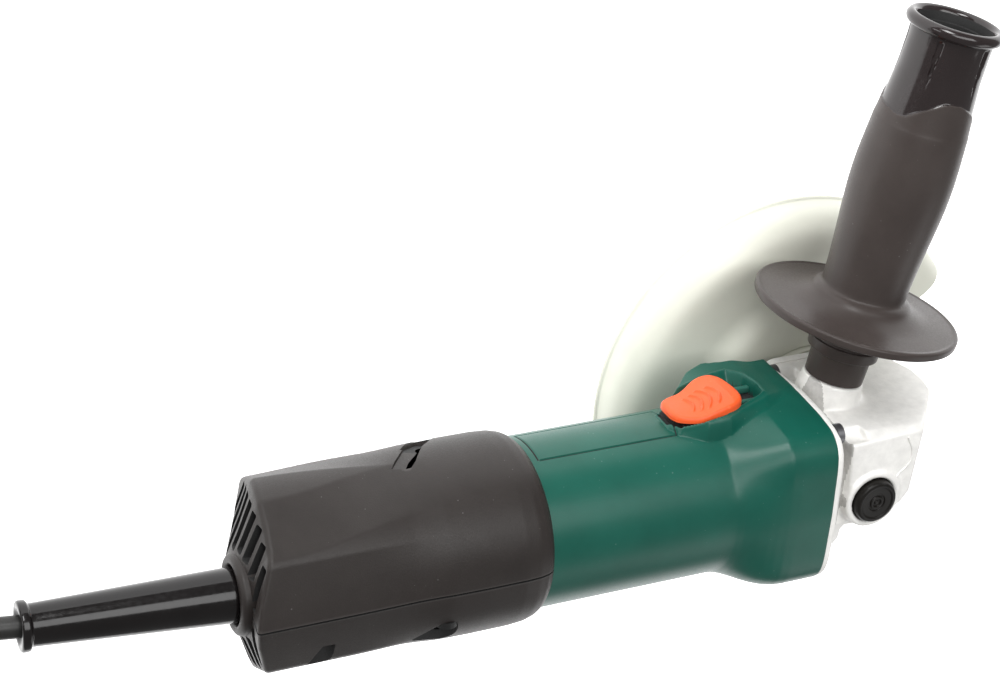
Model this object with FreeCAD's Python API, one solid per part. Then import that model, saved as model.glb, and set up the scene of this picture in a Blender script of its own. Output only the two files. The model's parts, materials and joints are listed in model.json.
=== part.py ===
"""Angle grinder for 125 mm discs, with its guard and side handle fitted, a mains lead and no disc.

Lengths are in millimetres. The pieces are drawn about the point where the motor axis (X, pointing
from the cord to the gear head) crosses the spindle axis (Z, pointing away from the disc), with the
side handle towards +Y. On export they are raised so that the origin is the centre of the disc seat.
"""
import FreeCAD, Part
import math
import os
from FreeCAD import Vector

# Frame
AXIS_ABOVE_SEAT = 48.0          # the motor axis above the disc seat
GUARD_RIM_Z = -60.0             # the lowest edge, on which the tool stands

# Motor housing
BODY_R = 29.3
BODY_WALL = 3.3
HEAD_FACE_X = -31.0
FLARE_START_X = -70.0
FLARE_END_X = -49.0
FLANGE_HALF_W = 33.2
FLANGE_HALF_H = 31.0
SPIGOT_R = 27.0
SPIGOT_END_X = -166.0

# Rear housing
REAR_FRONT_X = -136.0
REAR_BULGE_R = 33.0
REAR_R = 31.9
REAR_EDGE_X = -230.0
REAR_END_X = -241.0
REAR_EDGE_LEAN = 0.2            # the rear edge leans back by this much per mm of height
REAR_WALL = 2.8
SPLIT_GAP = 0.15                # from the middle plane to each rear shell
CORD_AXIS_Z = 8.7               # the cord leaves above the motor axis
COLLAR_R = 12.0

# Gear head
GEAR_HALF_W = 25.5
GEAR_TOP_Z = 26.0
GEAR_BOTTOM_Z = -30.0
GEAR_FRONT_X = 28.0
LOCK_X = -9.8
LOCK_R = 8.2
LOCK_TOP_Z = 29.6

# Spindle and guard
SPINDLE_R = 6.0
SHOULDER_R = 8.6
FLANGE_TOP_Z = -43.0
FLANGE_SEAT_R = 7.5
THREAD_R = 7.0
HUB_R = 11.1
HUB_H = 2.5
NECK_R = 20.5
NECK_BOTTOM_Z = -42.5
GUARD_R = 75.0
GUARD_TOP_Z = -38.5
GUARD_STEP = 4.0                # the plate is dished: its outer ring lies this much lower
GUARD_THICK = 1.8
GUARD_FROM_DEG = 35.0
GUARD_SPAN_DEG = 180.0

# Bevel gears: both pitch cones meet where the axes cross
PINION_TEETH = 12
RING_TEETH = 36
CONE_OUTER = 17.0               # ring pitch radius, and the pinion's distance from the spindle axis
CONE_INNER = 12.8
TOOTH_ADDENDUM = 0.85
TOOTH_DEDENDUM = 1.25
TOOTH_WIDTH_SHARE = 0.32        # of the pitch, so that the pair has generous backlash

# Motor
SHAFT_R = 5.0
CORE_R = 15.2
CORE_FRONT_X = -72.0
CORE_REAR_X = -112.0
STATOR_R = 25.6
STATOR_BORE_R = 15.9
COMMUTATOR_R = 10.5
BRUSH_X = -134.0

# Side handle: its axis leans forward in the horizontal plane
HANDLE_TILT_DEG = 12.0
HANDLE_X = -18.8
HANDLE_Z = -4.6
HANDLE_SEAT = 33.7              # from the body's middle plane to the collar's end, along the axis
HANDLE_FLANGE_R = 36.3

# Switch knob on the left side
KNOB_X = -66.0
KNOB_STROKE = 7.0

# Mains lead
CORD_D = 7.4
SLEEVE_FROM_X = -232.0
SLEEVE_END_X = -307.0
SLEEVE_DROP_DEG = 4.5
COIL_CENTRE = (-422.0, 46.0)
COIL_MEAN_R = 41.5
COIL_LAYERS = 3
CORD_ROUTE = [(-300.0, 0.0, 4.06), (-326.0, 0.0, 2.01), (-348.0, 1.0, -16.0), (-366.0, 1.5, -38.0),
              (-386.0, 0.5, -52.0), (-404.0, -2.0, -56.2), (-422.0, -2.9, -56.3)]

X_DIR = Vector(1, 0, 0)
Y_DIR = Vector(0, 1, 0)
Z_DIR = Vector(0, 0, 1)
ORIGIN = Vector(0, 0, 0)


def cylinder(radius, start, direction, length):
    return Part.makeCylinder(radius, length, Vector(*start), direction)


def x_cylinder(radius, from_x, to_x, y=0.0, z=0.0):
    low = min(from_x, to_x)
    return cylinder(radius, (low, y, z), X_DIR, abs(to_x - from_x))


def z_cylinder(radius, from_z, to_z, x=0.0, y=0.0):
    low = min(from_z, to_z)
    return cylinder(radius, (x, y, low), Z_DIR, abs(to_z - from_z))


def x_tube(outer_r, inner_r, from_x, to_x, y=0.0, z=0.0):
    return x_cylinder(outer_r, from_x, to_x, y, z).cut(x_cylinder(inner_r, from_x - 1, to_x + 1, y, z))


def z_tube(outer_r, inner_r, from_z, to_z, x=0.0, y=0.0):
    low, high = min(from_z, to_z), max(from_z, to_z)
    return z_cylinder(outer_r, low, high, x, y).cut(z_cylinder(inner_r, low - 1, high + 1, x, y))


def box(x0, x1, y0, y1, z0, z1):
    return Part.makeBox(x1 - x0, y1 - y0, z1 - z0, Vector(x0, y0, z0))


def revolved(profile, direction, start=ORIGIN, angle=360.0):
    """Turn a closed profile of (distance along, radius) points about the axis through start."""
    side = Z_DIR if direction.cross(Z_DIR).Length > 0.5 else X_DIR
    side = (side - direction * side.dot(direction)).normalize()
    points = [start + direction * along + side * radius for along, radius in profile]
    face = Part.Face(Part.makePolygon(points + [points[0]]))
    return face.revolve(start, direction, angle)


def outline_face(points, x):
    """A face at one x from (y, z) points."""
    corners = [Vector(x, y, z) for y, z in points]
    return Part.Face(Part.makePolygon(corners + [corners[0]]))


def mirrored(half):
    """Close a half outline, listed from +Y's bottom to its top, with its mirror image."""
    return half + [(-y, z) for y, z in reversed(half)]


def loft(sections):
    """A solid through closed outlines, each (x at mid height, lean, points): x falls by lean per mm of z."""
    wires = [Part.makePolygon([Vector(x - lean * z, y, z) for y, z in points + [points[0]]])
             for x, lean, points in sections]
    return Part.makeLoft(wires, True, True)


def round_outline(radius, flat, count=24):
    """A circle's outline, blended by flat (0 to 1) towards an octagon of the same width."""
    points = []
    for index in range(count):
        angle = 2 * math.pi * index / count
        nearest = round(angle / (math.pi / 4)) * math.pi / 4
        octagon = radius / math.cos(angle - nearest)
        reach = radius + flat * (min(octagon, radius * 1.05) - radius)
        points.append((reach * math.cos(angle), reach * math.sin(angle)))
    return points


def filleted(shape, radius, picker):
    edges = [edge for edge in shape.Edges if picker(edge)]
    return shape.makeFillet(radius, edges)


def screw_x(x_head, y, z, length, shank_r, head_r, head_h, toward=-1):
    """A pan head screw along X: the head's underside is at x_head, the shank runs toward -X or +X."""
    direction = Vector(toward, 0, 0)
    shank = cylinder(shank_r, (x_head, y, z), direction, length)
    head = cylinder(head_r, (x_head, y, z), Vector(-toward, 0, 0), head_h)
    slot_x = x_head - toward * head_h
    recess = box(min(slot_x, slot_x + toward * 1.2), max(slot_x, slot_x + toward * 1.2),
                 y - head_r * 0.6, y + head_r * 0.6, z - 0.5, z + 0.5)
    cross = recess.copy()
    cross.rotate(Vector(x_head, y, z), X_DIR, 90)
    return shank.fuse(head).cut(recess).cut(cross)


def rotated(shape, point, direction, degrees):
    turned = shape.copy()
    turned.rotate(point, direction, degrees)
    return turned


def group(solids):
    return Part.makeCompound(solids)


# ---------------------------------------------------------------- motor housing and rear shells

def flange_half(half_w, half_h):
    """The gear head flange's outline on the +Y side: upright flanks with leaning shoulders."""
    return [(half_w * 0.78, -half_h * 0.94), (half_w * 0.92, -half_h * 0.74), (half_w, -half_h * 0.28),
            (half_w, half_h * 0.28), (half_w * 0.92, half_h * 0.74), (half_w * 0.78, half_h * 0.94)]


def flare_sections(scale, wall):
    """Outlines from the round body to the flange, each listed from the same corner."""
    flange = mirrored(flange_half(FLANGE_HALF_W - wall, FLANGE_HALF_H - wall))
    radius = BODY_R - wall
    sections = []
    for step in range(scale + 1):
        share = step / scale
        eased = share * share * (3 - 2 * share)
        x = FLARE_START_X + share * (FLARE_END_X - FLARE_START_X)
        points = []
        for y, z in flange:
            angle = math.atan2(z, y)
            points.append(((1 - eased) * radius * math.cos(angle) + eased * y,
                           (1 - eased) * radius * math.sin(angle) + eased * z))
        sections.append((x, 0.0, points))
    sections.append((HEAD_FACE_X, 0.0, flange))
    return sections


def make_motor_housing():
    barrel = x_cylinder(BODY_R, REAR_FRONT_X - 4, FLARE_START_X + 3)
    spigot = x_cylinder(SPIGOT_R, SPIGOT_END_X, REAR_FRONT_X - 3)
    flare = loft(flare_sections(4, 0.0))
    bezel = box(-90, -36, 20, 33.6, -17, 17)
    bezel = filleted(bezel, 6.0, lambda e: abs(e.tangentAt(e.FirstParameter).y) > 0.9)
    outer = barrel.fuse([spigot, flare, bezel])
    bore_r = BODY_R - BODY_WALL
    inner = x_cylinder(bore_r, SPIGOT_END_X + 14, HEAD_FACE_X + 1)
    inner = inner.fuse(x_cylinder(SPIGOT_R - 3, SPIGOT_END_X - 1, SPIGOT_END_X + 6))
    inner = inner.fuse(x_cylinder(12.75, SPIGOT_END_X - 1, SPIGOT_END_X + 16))
    body = outer.cut(inner)
    for corner in range(4):
        hole = x_cylinder(1.9, -52, HEAD_FACE_X + 1, *flange_screw_place(corner))
        body = body.cut(hole)
    for index in range(6):
        air = box(SPIGOT_END_X + 4, SPIGOT_END_X + 16, 15.5, 20.5, -3.5, 3.5)
        body = body.cut(rotated(air, ORIGIN, X_DIR, 30 + 60 * index))
    for side in (1, -1):
        holder_slot = box(BRUSH_X - 5.7, BRUSH_X + 5.7, -4.2, 4.2, side * 27.8 - 3, side * 27.8 + 3)
        body = body.cut(holder_slot)
    knob_slot = box(KNOB_X - 11, KNOB_X + 11 + KNOB_STROKE, 24, 40, -3.4, 3.4)
    recess = box(-84, -40, 31.2, 40, -14.2, 14.2)
    recess = filleted(recess, 4.0, lambda e: abs(e.tangentAt(e.FirstParameter).y) > 0.9)
    return body.cut(knob_slot).cut(recess).cut(rod_way())


def rod_way():
    """The channel along the left flank in which the switch rod slides."""
    return box(-184, KNOB_X + 12, 24.5, 27.9, -3.4, 3.4)


def rear_outer():
    """The rear housing's outside: round at its front rim, eight-sided at its leaning rear edge."""
    sections = [(REAR_FRONT_X, 0.0, round_outline(BODY_R + 0.4, 0.0)),
                (REAR_FRONT_X - 7, 0.0, round_outline(REAR_BULGE_R, 0.0)),
                (-168.0, 0.0, round_outline(REAR_BULGE_R, 0.2)),
                (-182.0, 0.0, round_outline(REAR_R, 0.6)),
                (REAR_EDGE_X, REAR_EDGE_LEAN, round_outline(REAR_R, 1.0)),
                (REAR_END_X, 0.0, collar_outline(COLLAR_R + 0.5))]
    collar = x_cylinder(COLLAR_R, REAR_END_X - 2, REAR_EDGE_X, 0, CORD_AXIS_Z)
    return loft(sections).fuse(collar)


def collar_outline(radius):
    return [(y, z + CORD_AXIS_Z) for y, z in round_outline(radius, 0.0)]


def rear_inner():
    inside_r = REAR_R - REAR_WALL
    return loft([(REAR_FRONT_X - 10, 0.0, round_outline(inside_r, 0.0)),
                 (-182.0, 0.0, round_outline(inside_r, 0.3)),
                 (REAR_EDGE_X + 1, REAR_EDGE_LEAN, round_outline(inside_r, 0.8)),
                 (REAR_END_X + 4, 0.0, collar_outline(COLLAR_R))])


def vent_cuts(side):
    """Slots through the rear face of one shell, parallel to Y and stacked along Z."""
    cuts = []
    for row in range(7):
        z = 24.0 - 6.2 * row
        reach = math.sqrt(REAR_R ** 2 - z ** 2) - 3.6
        near = 13.4 if abs(z - CORD_AXIS_Z) < COLLAR_R + 2.4 else 3.0
        low, high = sorted((side * near, side * reach))
        front_x = REAR_EDGE_X - REAR_EDGE_LEAN * z + 3.0
        cuts.append(box(REAR_END_X - 3, front_x, low, high, z - 1.6, z + 1.6))
    return cuts


def shell_screw_places():
    """Four screws along Y that draw the shells together, above and below the inner pieces."""
    return [(-172.0, 27.0), (-223.0, 23.5), (-172.0, -27.0), (-214.0, -24.0)]


def make_rear_shell(side):
    hollow = rear_outer().cut(rear_inner())
    hollow = hollow.cut(x_cylinder(SPIGOT_R + 0.2, SPIGOT_END_X - 4, REAR_FRONT_X + 1))
    hollow = hollow.cut(x_cylinder(BODY_R + 0.1, REAR_FRONT_X - 4.2, REAR_FRONT_X + 1))
    low, high = sorted((side * SPLIT_GAP, side * 60))
    keep = box(-260, -120, low, high, -60, 60)
    posts = [x_box_post(x, z) for x, z in shell_screw_places()]
    shell = hollow.fuse(posts).common(rear_outer()).common(keep)
    shell = shell.cut(sleeve_outer(0.15)).cut(sleeve_flange(0.15)).cut(rod_way())
    shell = shell.cut(vent_cuts(side))
    for x, z in shell_screw_places():
        hole_r = 1.9 if side > 0 else 2.2
        shell = shell.cut(cylinder(hole_r, (x, -40, z), Y_DIR, 54))
        if side < 0:
            shell = shell.cut(cylinder(4.2, (x, -40, z), Y_DIR, 28))
    scoops = [(-172.0, 8.0)] if side > 0 else [(-216.0, 118.0), (-171.0, 131.0)]
    return shell.cut([scoop_cut(x, turn) for x, turn in scoops])


def x_box_post(x, z):
    """A boss along Y around one shell screw."""
    return cylinder(4.6, (x, -20, z), Y_DIR, 40)


def scoop_cut(x, turn_deg):
    """A vent cut into the flank: a ramp that falls forward to a steep wall."""
    profile = [Vector(x - 9, 33.5, -7), Vector(x + 3, 33.5, -7), Vector(x + 3, 27.5, -7)]
    wedge = Part.Face(Part.makePolygon(profile + [profile[0]])).extrude(Vector(0, 0, 14))
    return rotated(wedge, ORIGIN, X_DIR, turn_deg)


def make_shell_screws():
    screws = []
    for x, z in shell_screw_places():
        shank = cylinder(1.8, (x, -12, z), Y_DIR, 24)
        head = cylinder(3.8, (x, -14.4, z), Y_DIR, 2.4)
        hexagon = box(x - 2.6, x + 2.6, -15, -13.2, z - 0.5, z + 0.5)
        screws.append(shank.fuse(head).cut(hexagon).cut(rotated(hexagon, Vector(x, 0, z), Y_DIR, 90)))
    return group(screws)


# ---------------------------------------------------------------- gear head

def flange_screw_place(corner):
    y = 26.4 if corner % 2 == 0 else -26.4
    z = 21.5 if corner < 2 else -21.5
    return (y, z)


def cover_screw_place(corner):
    x = 19.0 if corner % 2 == 0 else -19.0
    y = 19.0 if corner < 2 else -19.0
    return (x, y)


def handle_direction(side):
    tilt = math.radians(HANDLE_TILT_DEG)
    return Vector(math.sin(tilt), side * math.cos(tilt), 0)


def handle_point(along, side=1):
    return Vector(HANDLE_X, 0, HANDLE_Z) + handle_direction(side) * along


def handle_cylinder(radius, from_s, to_s, side=1):
    return Part.makeCylinder(radius, to_s - from_s, handle_point(from_s, side), handle_direction(side))


def gear_block(inset):
    """The head's block: level top, sloping nose, and upright corners rounded in plan."""
    side_profile = [(-27.0, GEAR_BOTTOM_Z), (GEAR_FRONT_X - inset, GEAR_BOTTOM_Z),
                    (GEAR_FRONT_X - inset, -2.0), (6.5, GEAR_TOP_Z - inset), (-27.0, GEAR_TOP_Z - inset)]
    corners = [Vector(x, -GEAR_HALF_W + inset, z) for x, z in side_profile]
    face = Part.Face(Part.makePolygon(corners + [corners[0]]))
    block = face.extrude(Vector(0, 2 * (GEAR_HALF_W - inset), 0))
    end_profile = mirrored([(GEAR_HALF_W - inset, GEAR_BOTTOM_Z), (GEAR_HALF_W - inset, 8.5),
                            (12.0 - inset * 0.5, GEAR_TOP_Z - inset)])
    block = block.common(outline_face(end_profile, -27).extrude(Vector(60, 0, 0)))
    return filleted(block, 9.0 - inset * 0.5, lambda e: is_nose_corner(e, inset))


def is_nose_corner(edge, inset):
    middle = edge.valueAt((edge.FirstParameter + edge.LastParameter) / 2)
    upright = abs(edge.tangentAt(edge.FirstParameter).z) > 0.99
    return upright and middle.x > GEAR_FRONT_X - inset - 1


def make_gear_housing():
    plate = outline_face(mirrored(flange_half(FLANGE_HALF_W - 0.3, FLANGE_HALF_H - 0.3)), HEAD_FACE_X)
    plate = plate.extrude(Vector(4, 0, 0))
    bearing_boss = x_cylinder(17.5, HEAD_FACE_X - 6, HEAD_FACE_X)
    lock_boss = z_cylinder(LOCK_R + 3.0, 10, GEAR_TOP_Z + 1.4, LOCK_X)
    body = gear_block(0.0).fuse([plate, bearing_boss, lock_boss])
    for side in (1, -1):
        body = body.fuse(handle_cylinder(14.0, 18, HANDLE_SEAT, side))
    cavity = z_cylinder(21.0, GEAR_BOTTOM_Z - 1, -3.0)
    cavity = cavity.fuse(x_cylinder(9.0, -27, -8))
    body = body.cut(cavity)
    body = body.cut(z_cylinder(8.05, -4, 17.0))
    body = body.cut(x_cylinder(13.05, HEAD_FACE_X - 7, -28.0)).cut(x_cylinder(9.0, -29, -26))
    body = body.cut(z_cylinder(LOCK_R + 0.15, 20.0, 40, LOCK_X)).cut(z_cylinder(1.56, -4, 21, LOCK_X))
    for side in (1, -1):
        body = body.cut(handle_cylinder(3.4, HANDLE_SEAT - 9.5, HANDLE_SEAT + 1, side))
    for corner in range(4):
        body = body.cut(x_cylinder(2.2, -34, -20, *flange_screw_place(corner)))
        body = body.cut(x_cylinder(4.2, -27, -14, *flange_screw_place(corner)))
        x, y = cover_screw_place(corner)
        body = body.cut(z_cylinder(1.95, GEAR_BOTTOM_Z - 1, -14, x, y))
    return body


def make_gear_screws():
    return group([screw_x(-27, *flange_screw_place(corner), 22, 1.8, 3.6, 2.6) for corner in range(4)])


def make_bearing_cover():
    plate = outline_face([(-25.5, -25.5), (25.5, -25.5), (25.5, 25.5), (-25.5, 25.5)], 0.0)
    plate = rotated(plate, ORIGIN, Y_DIR, 90)
    plate.translate(Vector(0, 0, GEAR_BOTTOM_Z - 3.2))
    plate = plate.extrude(Vector(0, 0, 3.2))
    plate = filleted(plate, 8.0, lambda e: abs(e.tangentAt(e.FirstParameter).z) > 0.9)
    spigot = z_cylinder(20.7, GEAR_BOTTOM_Z, GEAR_BOTTOM_Z + 3.0)
    neck = z_cylinder(NECK_R, NECK_BOTTOM_Z, GEAR_BOTTOM_Z)
    cover = plate.fuse([spigot, neck])
    cover = cover.cut(z_cylinder(16.05, -38.0, GEAR_BOTTOM_Z + 4)).cut(z_cylinder(10.5, -44, -37))
    cover = cover.cut(z_cylinder(13.0, NECK_BOTTOM_Z - 1, -40.0))
    for corner in range(4):
        x, y = cover_screw_place(corner)
        cover = cover.cut(z_cylinder(2.2, -36, -28, x, y))
    return cover


def make_cover_screws():
    screws = []
    for corner in range(4):
        x, y = cover_screw_place(corner)
        shank = z_cylinder(1.85, -33.2, -18.5, x, y)
        head = z_cylinder(3.4, -35.4, -33.2, x, y)
        recess = z_cylinder(1.5, -36, -34.2, x, y)
        screws.append(shank.fuse(head).cut(recess))
    return group(screws)


def tooth(points):
    """A bevel tooth between the outer and inner cone distance; its faces all point at the crossing."""
    share = CONE_INNER / CONE_OUTER
    outer = Part.makePolygon(points + [points[0]])
    inner_points = [point * share for point in points]
    inner = Part.makePolygon(inner_points + [inner_points[0]])
    return Part.makeLoft([outer, inner], True, True)


def make_pinion():
    pitch_r = CONE_OUTER * PINION_TEETH / RING_TEETH
    half = math.pi * pitch_r * TOOTH_WIDTH_SHARE / PINION_TEETH
    root_r, tip_r = pitch_r - TOOTH_DEDENDUM, pitch_r + TOOTH_ADDENDUM
    share = CONE_INNER / CONE_OUTER
    core = revolved([(-CONE_OUTER - 5, 0), (-CONE_OUTER - 5, root_r), (-CONE_OUTER, root_r),
                     (-CONE_INNER, root_r * share), (-CONE_INNER, 0)], X_DIR)
    points = [Vector(-CONE_OUTER, -half * 1.25, root_r - 0.4), Vector(-CONE_OUTER, half * 1.25, root_r - 0.4),
              Vector(-CONE_OUTER, half * 0.7, tip_r), Vector(-CONE_OUTER, -half * 0.7, tip_r)]
    step = 360.0 / PINION_TEETH
    teeth = [rotated(tooth(points), ORIGIN, X_DIR, step * (index + 0.5)) for index in range(PINION_TEETH)]
    pinion = core.fuse(teeth)
    return pinion.cut(x_cylinder(2.8, -30, 0))


def make_ring_gear():
    pitch_z = -CONE_OUTER * PINION_TEETH / RING_TEETH
    half = math.pi * CONE_OUTER * TOOTH_WIDTH_SHARE / RING_TEETH
    root_z, tip_z = pitch_z - TOOTH_DEDENDUM, pitch_z + TOOTH_ADDENDUM
    slope = root_z / CONE_OUTER
    profile = [(-13.5, SPINDLE_R), (-13.5, 17.5), (slope * 17.5 - 1.0, 18.6), (slope * 18.6, 18.6),
               (slope * 12.4, 12.4), (-8.6, 12.4), (-8.6, SPINDLE_R)]
    ring = revolved(profile, Z_DIR)
    points = [Vector(-CONE_OUTER, -half * 1.25, root_z - 0.4), Vector(-CONE_OUTER, half * 1.25, root_z - 0.4),
              Vector(-CONE_OUTER, half * 0.7, tip_z), Vector(-CONE_OUTER, -half * 0.7, tip_z)]
    step = 360.0 / RING_TEETH
    ring = ring.fuse([rotated(tooth(points), ORIGIN, Z_DIR, step * index) for index in range(RING_TEETH)])
    hole = z_cylinder(1.95, -12.0, -6, LOCK_X)
    return ring.cut([rotated(hole, ORIGIN, Z_DIR, 30 * index) for index in range(12)])


def make_spindle():
    hub_end = -AXIS_ABOVE_SEAT - HUB_H
    profile = [(15.5, 0), (15.5, 5.0), (-8.6, 5.0), (-8.6, SPINDLE_R - 0.02), (-41.7, SPINDLE_R - 0.02),
               (-41.7, SHOULDER_R), (FLANGE_TOP_Z, SHOULDER_R), (FLANGE_TOP_Z, FLANGE_SEAT_R),
               (hub_end, FLANGE_SEAT_R), (hub_end, THREAD_R), (-59.0, THREAD_R), (-59.5, THREAD_R - 0.5),
               (-59.5, 0)]
    return revolved(profile, Z_DIR)


def make_bearing(inner_r, outer_r, low, high, along_x):
    """A ball bearing as its outer ring with the balls, and its inner ring."""
    middle = (inner_r + outer_r) / 2
    ball_r = (outer_r - inner_r) * 0.26
    build = x_tube if along_x else z_tube
    outer = build(outer_r, middle + ball_r * 0.55, low, high)
    inner = build(middle - ball_r * 0.55, inner_r, low, high)
    centre = (low + high) / 2
    profile_ring = Part.makeTorus(middle, ball_r + 0.06, Vector(centre, 0, 0) if along_x
                                  else Vector(0, 0, centre), X_DIR if along_x else Z_DIR)
    outer, inner = outer.cut(profile_ring), inner.cut(profile_ring)
    count = 9
    balls = []
    for index in range(count):
        angle = 2 * math.pi * index / count
        a, b = middle * math.cos(angle), middle * math.sin(angle)
        place = Vector(centre, a, b) if along_x else Vector(a, b, centre)
        balls.append(Part.makeSphere(ball_r, place))
    return group([outer] + balls), inner


# ---------------------------------------------------------------- spindle lock

def make_lock_button():
    cap = z_cylinder(LOCK_R, LOCK_TOP_Z - 6.0, LOCK_TOP_Z, LOCK_X)
    cap = filleted(cap, 1.2, lambda e: abs(e.BoundBox.ZMax - LOCK_TOP_Z) < 1e-6 and e.BoundBox.XLength > 5)
    cap = cap.cut(z_tube(3.6, 2.9, LOCK_TOP_Z - 0.4, LOCK_TOP_Z + 1, LOCK_X))
    return cap.cut(z_cylinder(2.0, LOCK_TOP_Z - 7, LOCK_TOP_Z - 2.5, LOCK_X))


def make_lock_pin():
    return z_cylinder(1.5, -7.8, LOCK_TOP_Z - 6, LOCK_X).fuse(
        z_cylinder(2.0, LOCK_TOP_Z - 6, LOCK_TOP_Z - 2.5, LOCK_X))


def spring(radius, wire_r, low, high, turns, centre, direction):
    """A coil spring between two heights along direction from centre."""
    helix = Part.makeHelix((high - low - 2 * wire_r) / turns, high - low - 2 * wire_r, radius)
    start = Vector(radius, 0, 0)
    section = Part.Wire(Part.makeCircle(wire_r, start, Vector(0, 1, 0.15)))
    coil = Part.Wire(helix).makePipeShell([section], True, False)
    coil.translate(Vector(0, 0, low + wire_r))
    if direction.cross(Z_DIR).Length > 0.5:
        coil.rotate(ORIGIN, Z_DIR.cross(direction), 90)
    elif direction.z < 0:
        coil.rotate(ORIGIN, X_DIR, 180)
    coil.translate(centre)
    return coil


# ---------------------------------------------------------------- guard

def sector(from_deg, span_deg, radius=120.0):
    """A wedge about the spindle axis, taller than the guard."""
    start, end = math.radians(from_deg), math.radians(from_deg + span_deg)
    middle = (start + end) / 2
    points = [Vector(0, 0, -80), Vector(radius * math.cos(start), radius * math.sin(start), -80),
              Vector(radius * math.cos(middle), radius * math.sin(middle), -80),
              Vector(radius * math.cos(end), radius * math.sin(end), -80)]
    arc = Part.Arc(points[1], points[2], points[3]).toShape()
    wire = Part.Wire([Part.LineSegment(points[0], points[1]).toShape(), arc,
                      Part.LineSegment(points[3], points[0]).toShape()])
    return Part.Face(wire).extrude(Vector(0, 0, 80))


def make_guard():
    outer_r, thick = GUARD_R - 0.9, GUARD_THICK
    shoulder = 8.0
    plate_z = GUARD_TOP_Z - GUARD_STEP
    profile = [(GUARD_TOP_Z, 24.6), (GUARD_TOP_Z, 38.0), (plate_z, 45.0), (plate_z, outer_r - shoulder)]
    for step in range(1, 6):
        angle = math.radians(90 - 18 * step)
        profile.append((plate_z - shoulder + shoulder * math.sin(angle),
                        outer_r - shoulder + shoulder * math.cos(angle)))
    profile += [(GUARD_RIM_Z + 1.8, outer_r), (GUARD_RIM_Z + 0.9, GUARD_R), (GUARD_RIM_Z, GUARD_R - 0.3),
                (GUARD_RIM_Z, outer_r - thick)]
    inner_shoulder = shoulder - thick
    for step in range(5, -1, -1):
        angle = math.radians(90 - 18 * step)
        profile.append((plate_z - shoulder + inner_shoulder * math.sin(angle),
                        outer_r - shoulder + inner_shoulder * math.cos(angle)))
    profile += [(plate_z - thick, 44.0), (GUARD_TOP_Z - thick, 37.0), (GUARD_TOP_Z - thick, 24.6)]
    dish = revolved(profile, Z_DIR).common(sector(GUARD_FROM_DEG, GUARD_SPAN_DEG))
    return dish


def make_guard_band():
    """The clamp band: a split ring on the bearing cover's neck with two ears."""
    band = z_tube(24.6, NECK_R + 0.08, -42.2, -35.9)
    ears = box(18, 31, -5.5, 5.5, -42.2, -36.2).cut(z_cylinder(NECK_R + 0.08, -50, -30))
    band = band.fuse(rotated(ears, ORIGIN, Z_DIR, -80))
    slit = rotated(box(15, 35, -1.2, 1.2, -50, -30), ORIGIN, Z_DIR, -80)
    hole = rotated(cylinder(2.1, (27.6, -10, -39.2), Y_DIR, 20), ORIGIN, Z_DIR, -80)
    return band.cut(slit).cut(hole)


def make_guard_screw():
    shank = cylinder(2.0, (27.6, -5.5, -39.2), Y_DIR, 13)
    head = cylinder(3.0, (27.6, -8.7, -39.2), Y_DIR, 3.2).cut(cylinder(1.5, (27.6, -9.0, -39.2), Y_DIR, 2.0))
    nut = cylinder(3.0, (27.6, 5.5, -39.2), Y_DIR, 2.6)
    screw = rotated(shank.fuse(head), ORIGIN, Z_DIR, -80)
    nut = rotated(nut.cut(cylinder(2.0, (27.6, 5, -39.2), Y_DIR, 4)), ORIGIN, Z_DIR, -80)
    return group([screw, nut])


def make_inner_flange():
    """The disc's inner flange, on the spindle's plain seat against its shoulder."""
    hub_end = -AXIS_ABOVE_SEAT - HUB_H
    bore_r = FLANGE_SEAT_R + 0.02
    profile = [(FLANGE_TOP_Z - 0.01, bore_r), (FLANGE_TOP_Z - 0.01, 9.5), (-45.0, 9.5), (-45.0, 20.0),
               (-AXIS_ABOVE_SEAT, 20.0), (-AXIS_ABOVE_SEAT, HUB_R), (hub_end, HUB_R), (hub_end, bore_r)]
    return revolved(profile, Z_DIR)


# ---------------------------------------------------------------- motor

def make_shaft():
    profile = [(-CONE_INNER, 0), (-CONE_INNER, 2.78), (-CONE_OUTER - 5.0, 2.78), (-CONE_OUTER - 5.0, SHAFT_R),
               (-146.5, SHAFT_R), (-146.5, 4.0), (-156.0, 4.0), (-156.0, 0)]
    return revolved(profile, X_DIR)


def make_armature_core():
    core = x_tube(CORE_R, SHAFT_R, CORE_REAR_X, CORE_FRONT_X)
    slot = box(CORE_REAR_X - 1, CORE_FRONT_X + 1, -0.9, 0.9, CORE_R - 5.5, CORE_R + 1)
    return core.cut([rotated(slot, ORIGIN, X_DIR, 30 * index) for index in range(12)])


def make_windings():
    """End turns at both ends of the armature, joined by the bars that fill its slots."""
    front = revolved([(CORE_FRONT_X, 7.0), (CORE_FRONT_X, 14.0), (CORE_FRONT_X + 5, 13.2),
                      (CORE_FRONT_X + 7, 10.0), (CORE_FRONT_X + 7, 7.0)], X_DIR)
    rear = revolved([(CORE_REAR_X, 7.0), (CORE_REAR_X - 8, 7.0), (CORE_REAR_X - 8, 10.0),
                     (CORE_REAR_X - 6, 13.2), (CORE_REAR_X, 14.0)], X_DIR)
    bar = box(CORE_REAR_X - 0.5, CORE_FRONT_X + 0.5, -0.8, 0.8, CORE_R - 5.3, CORE_R - 1.2)
    bars = [rotated(bar, ORIGIN, X_DIR, 30 * index) for index in range(12)]
    return front.fuse([rear] + bars)


def make_commutator():
    drum = x_tube(COMMUTATOR_R, SHAFT_R, -141, -127)
    slit = box(-142, -126, -0.25, 0.25, COMMUTATOR_R - 1.5, COMMUTATOR_R + 1)
    return drum.cut([rotated(slit, ORIGIN, X_DIR, 15 * index) for index in range(24)])


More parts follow.
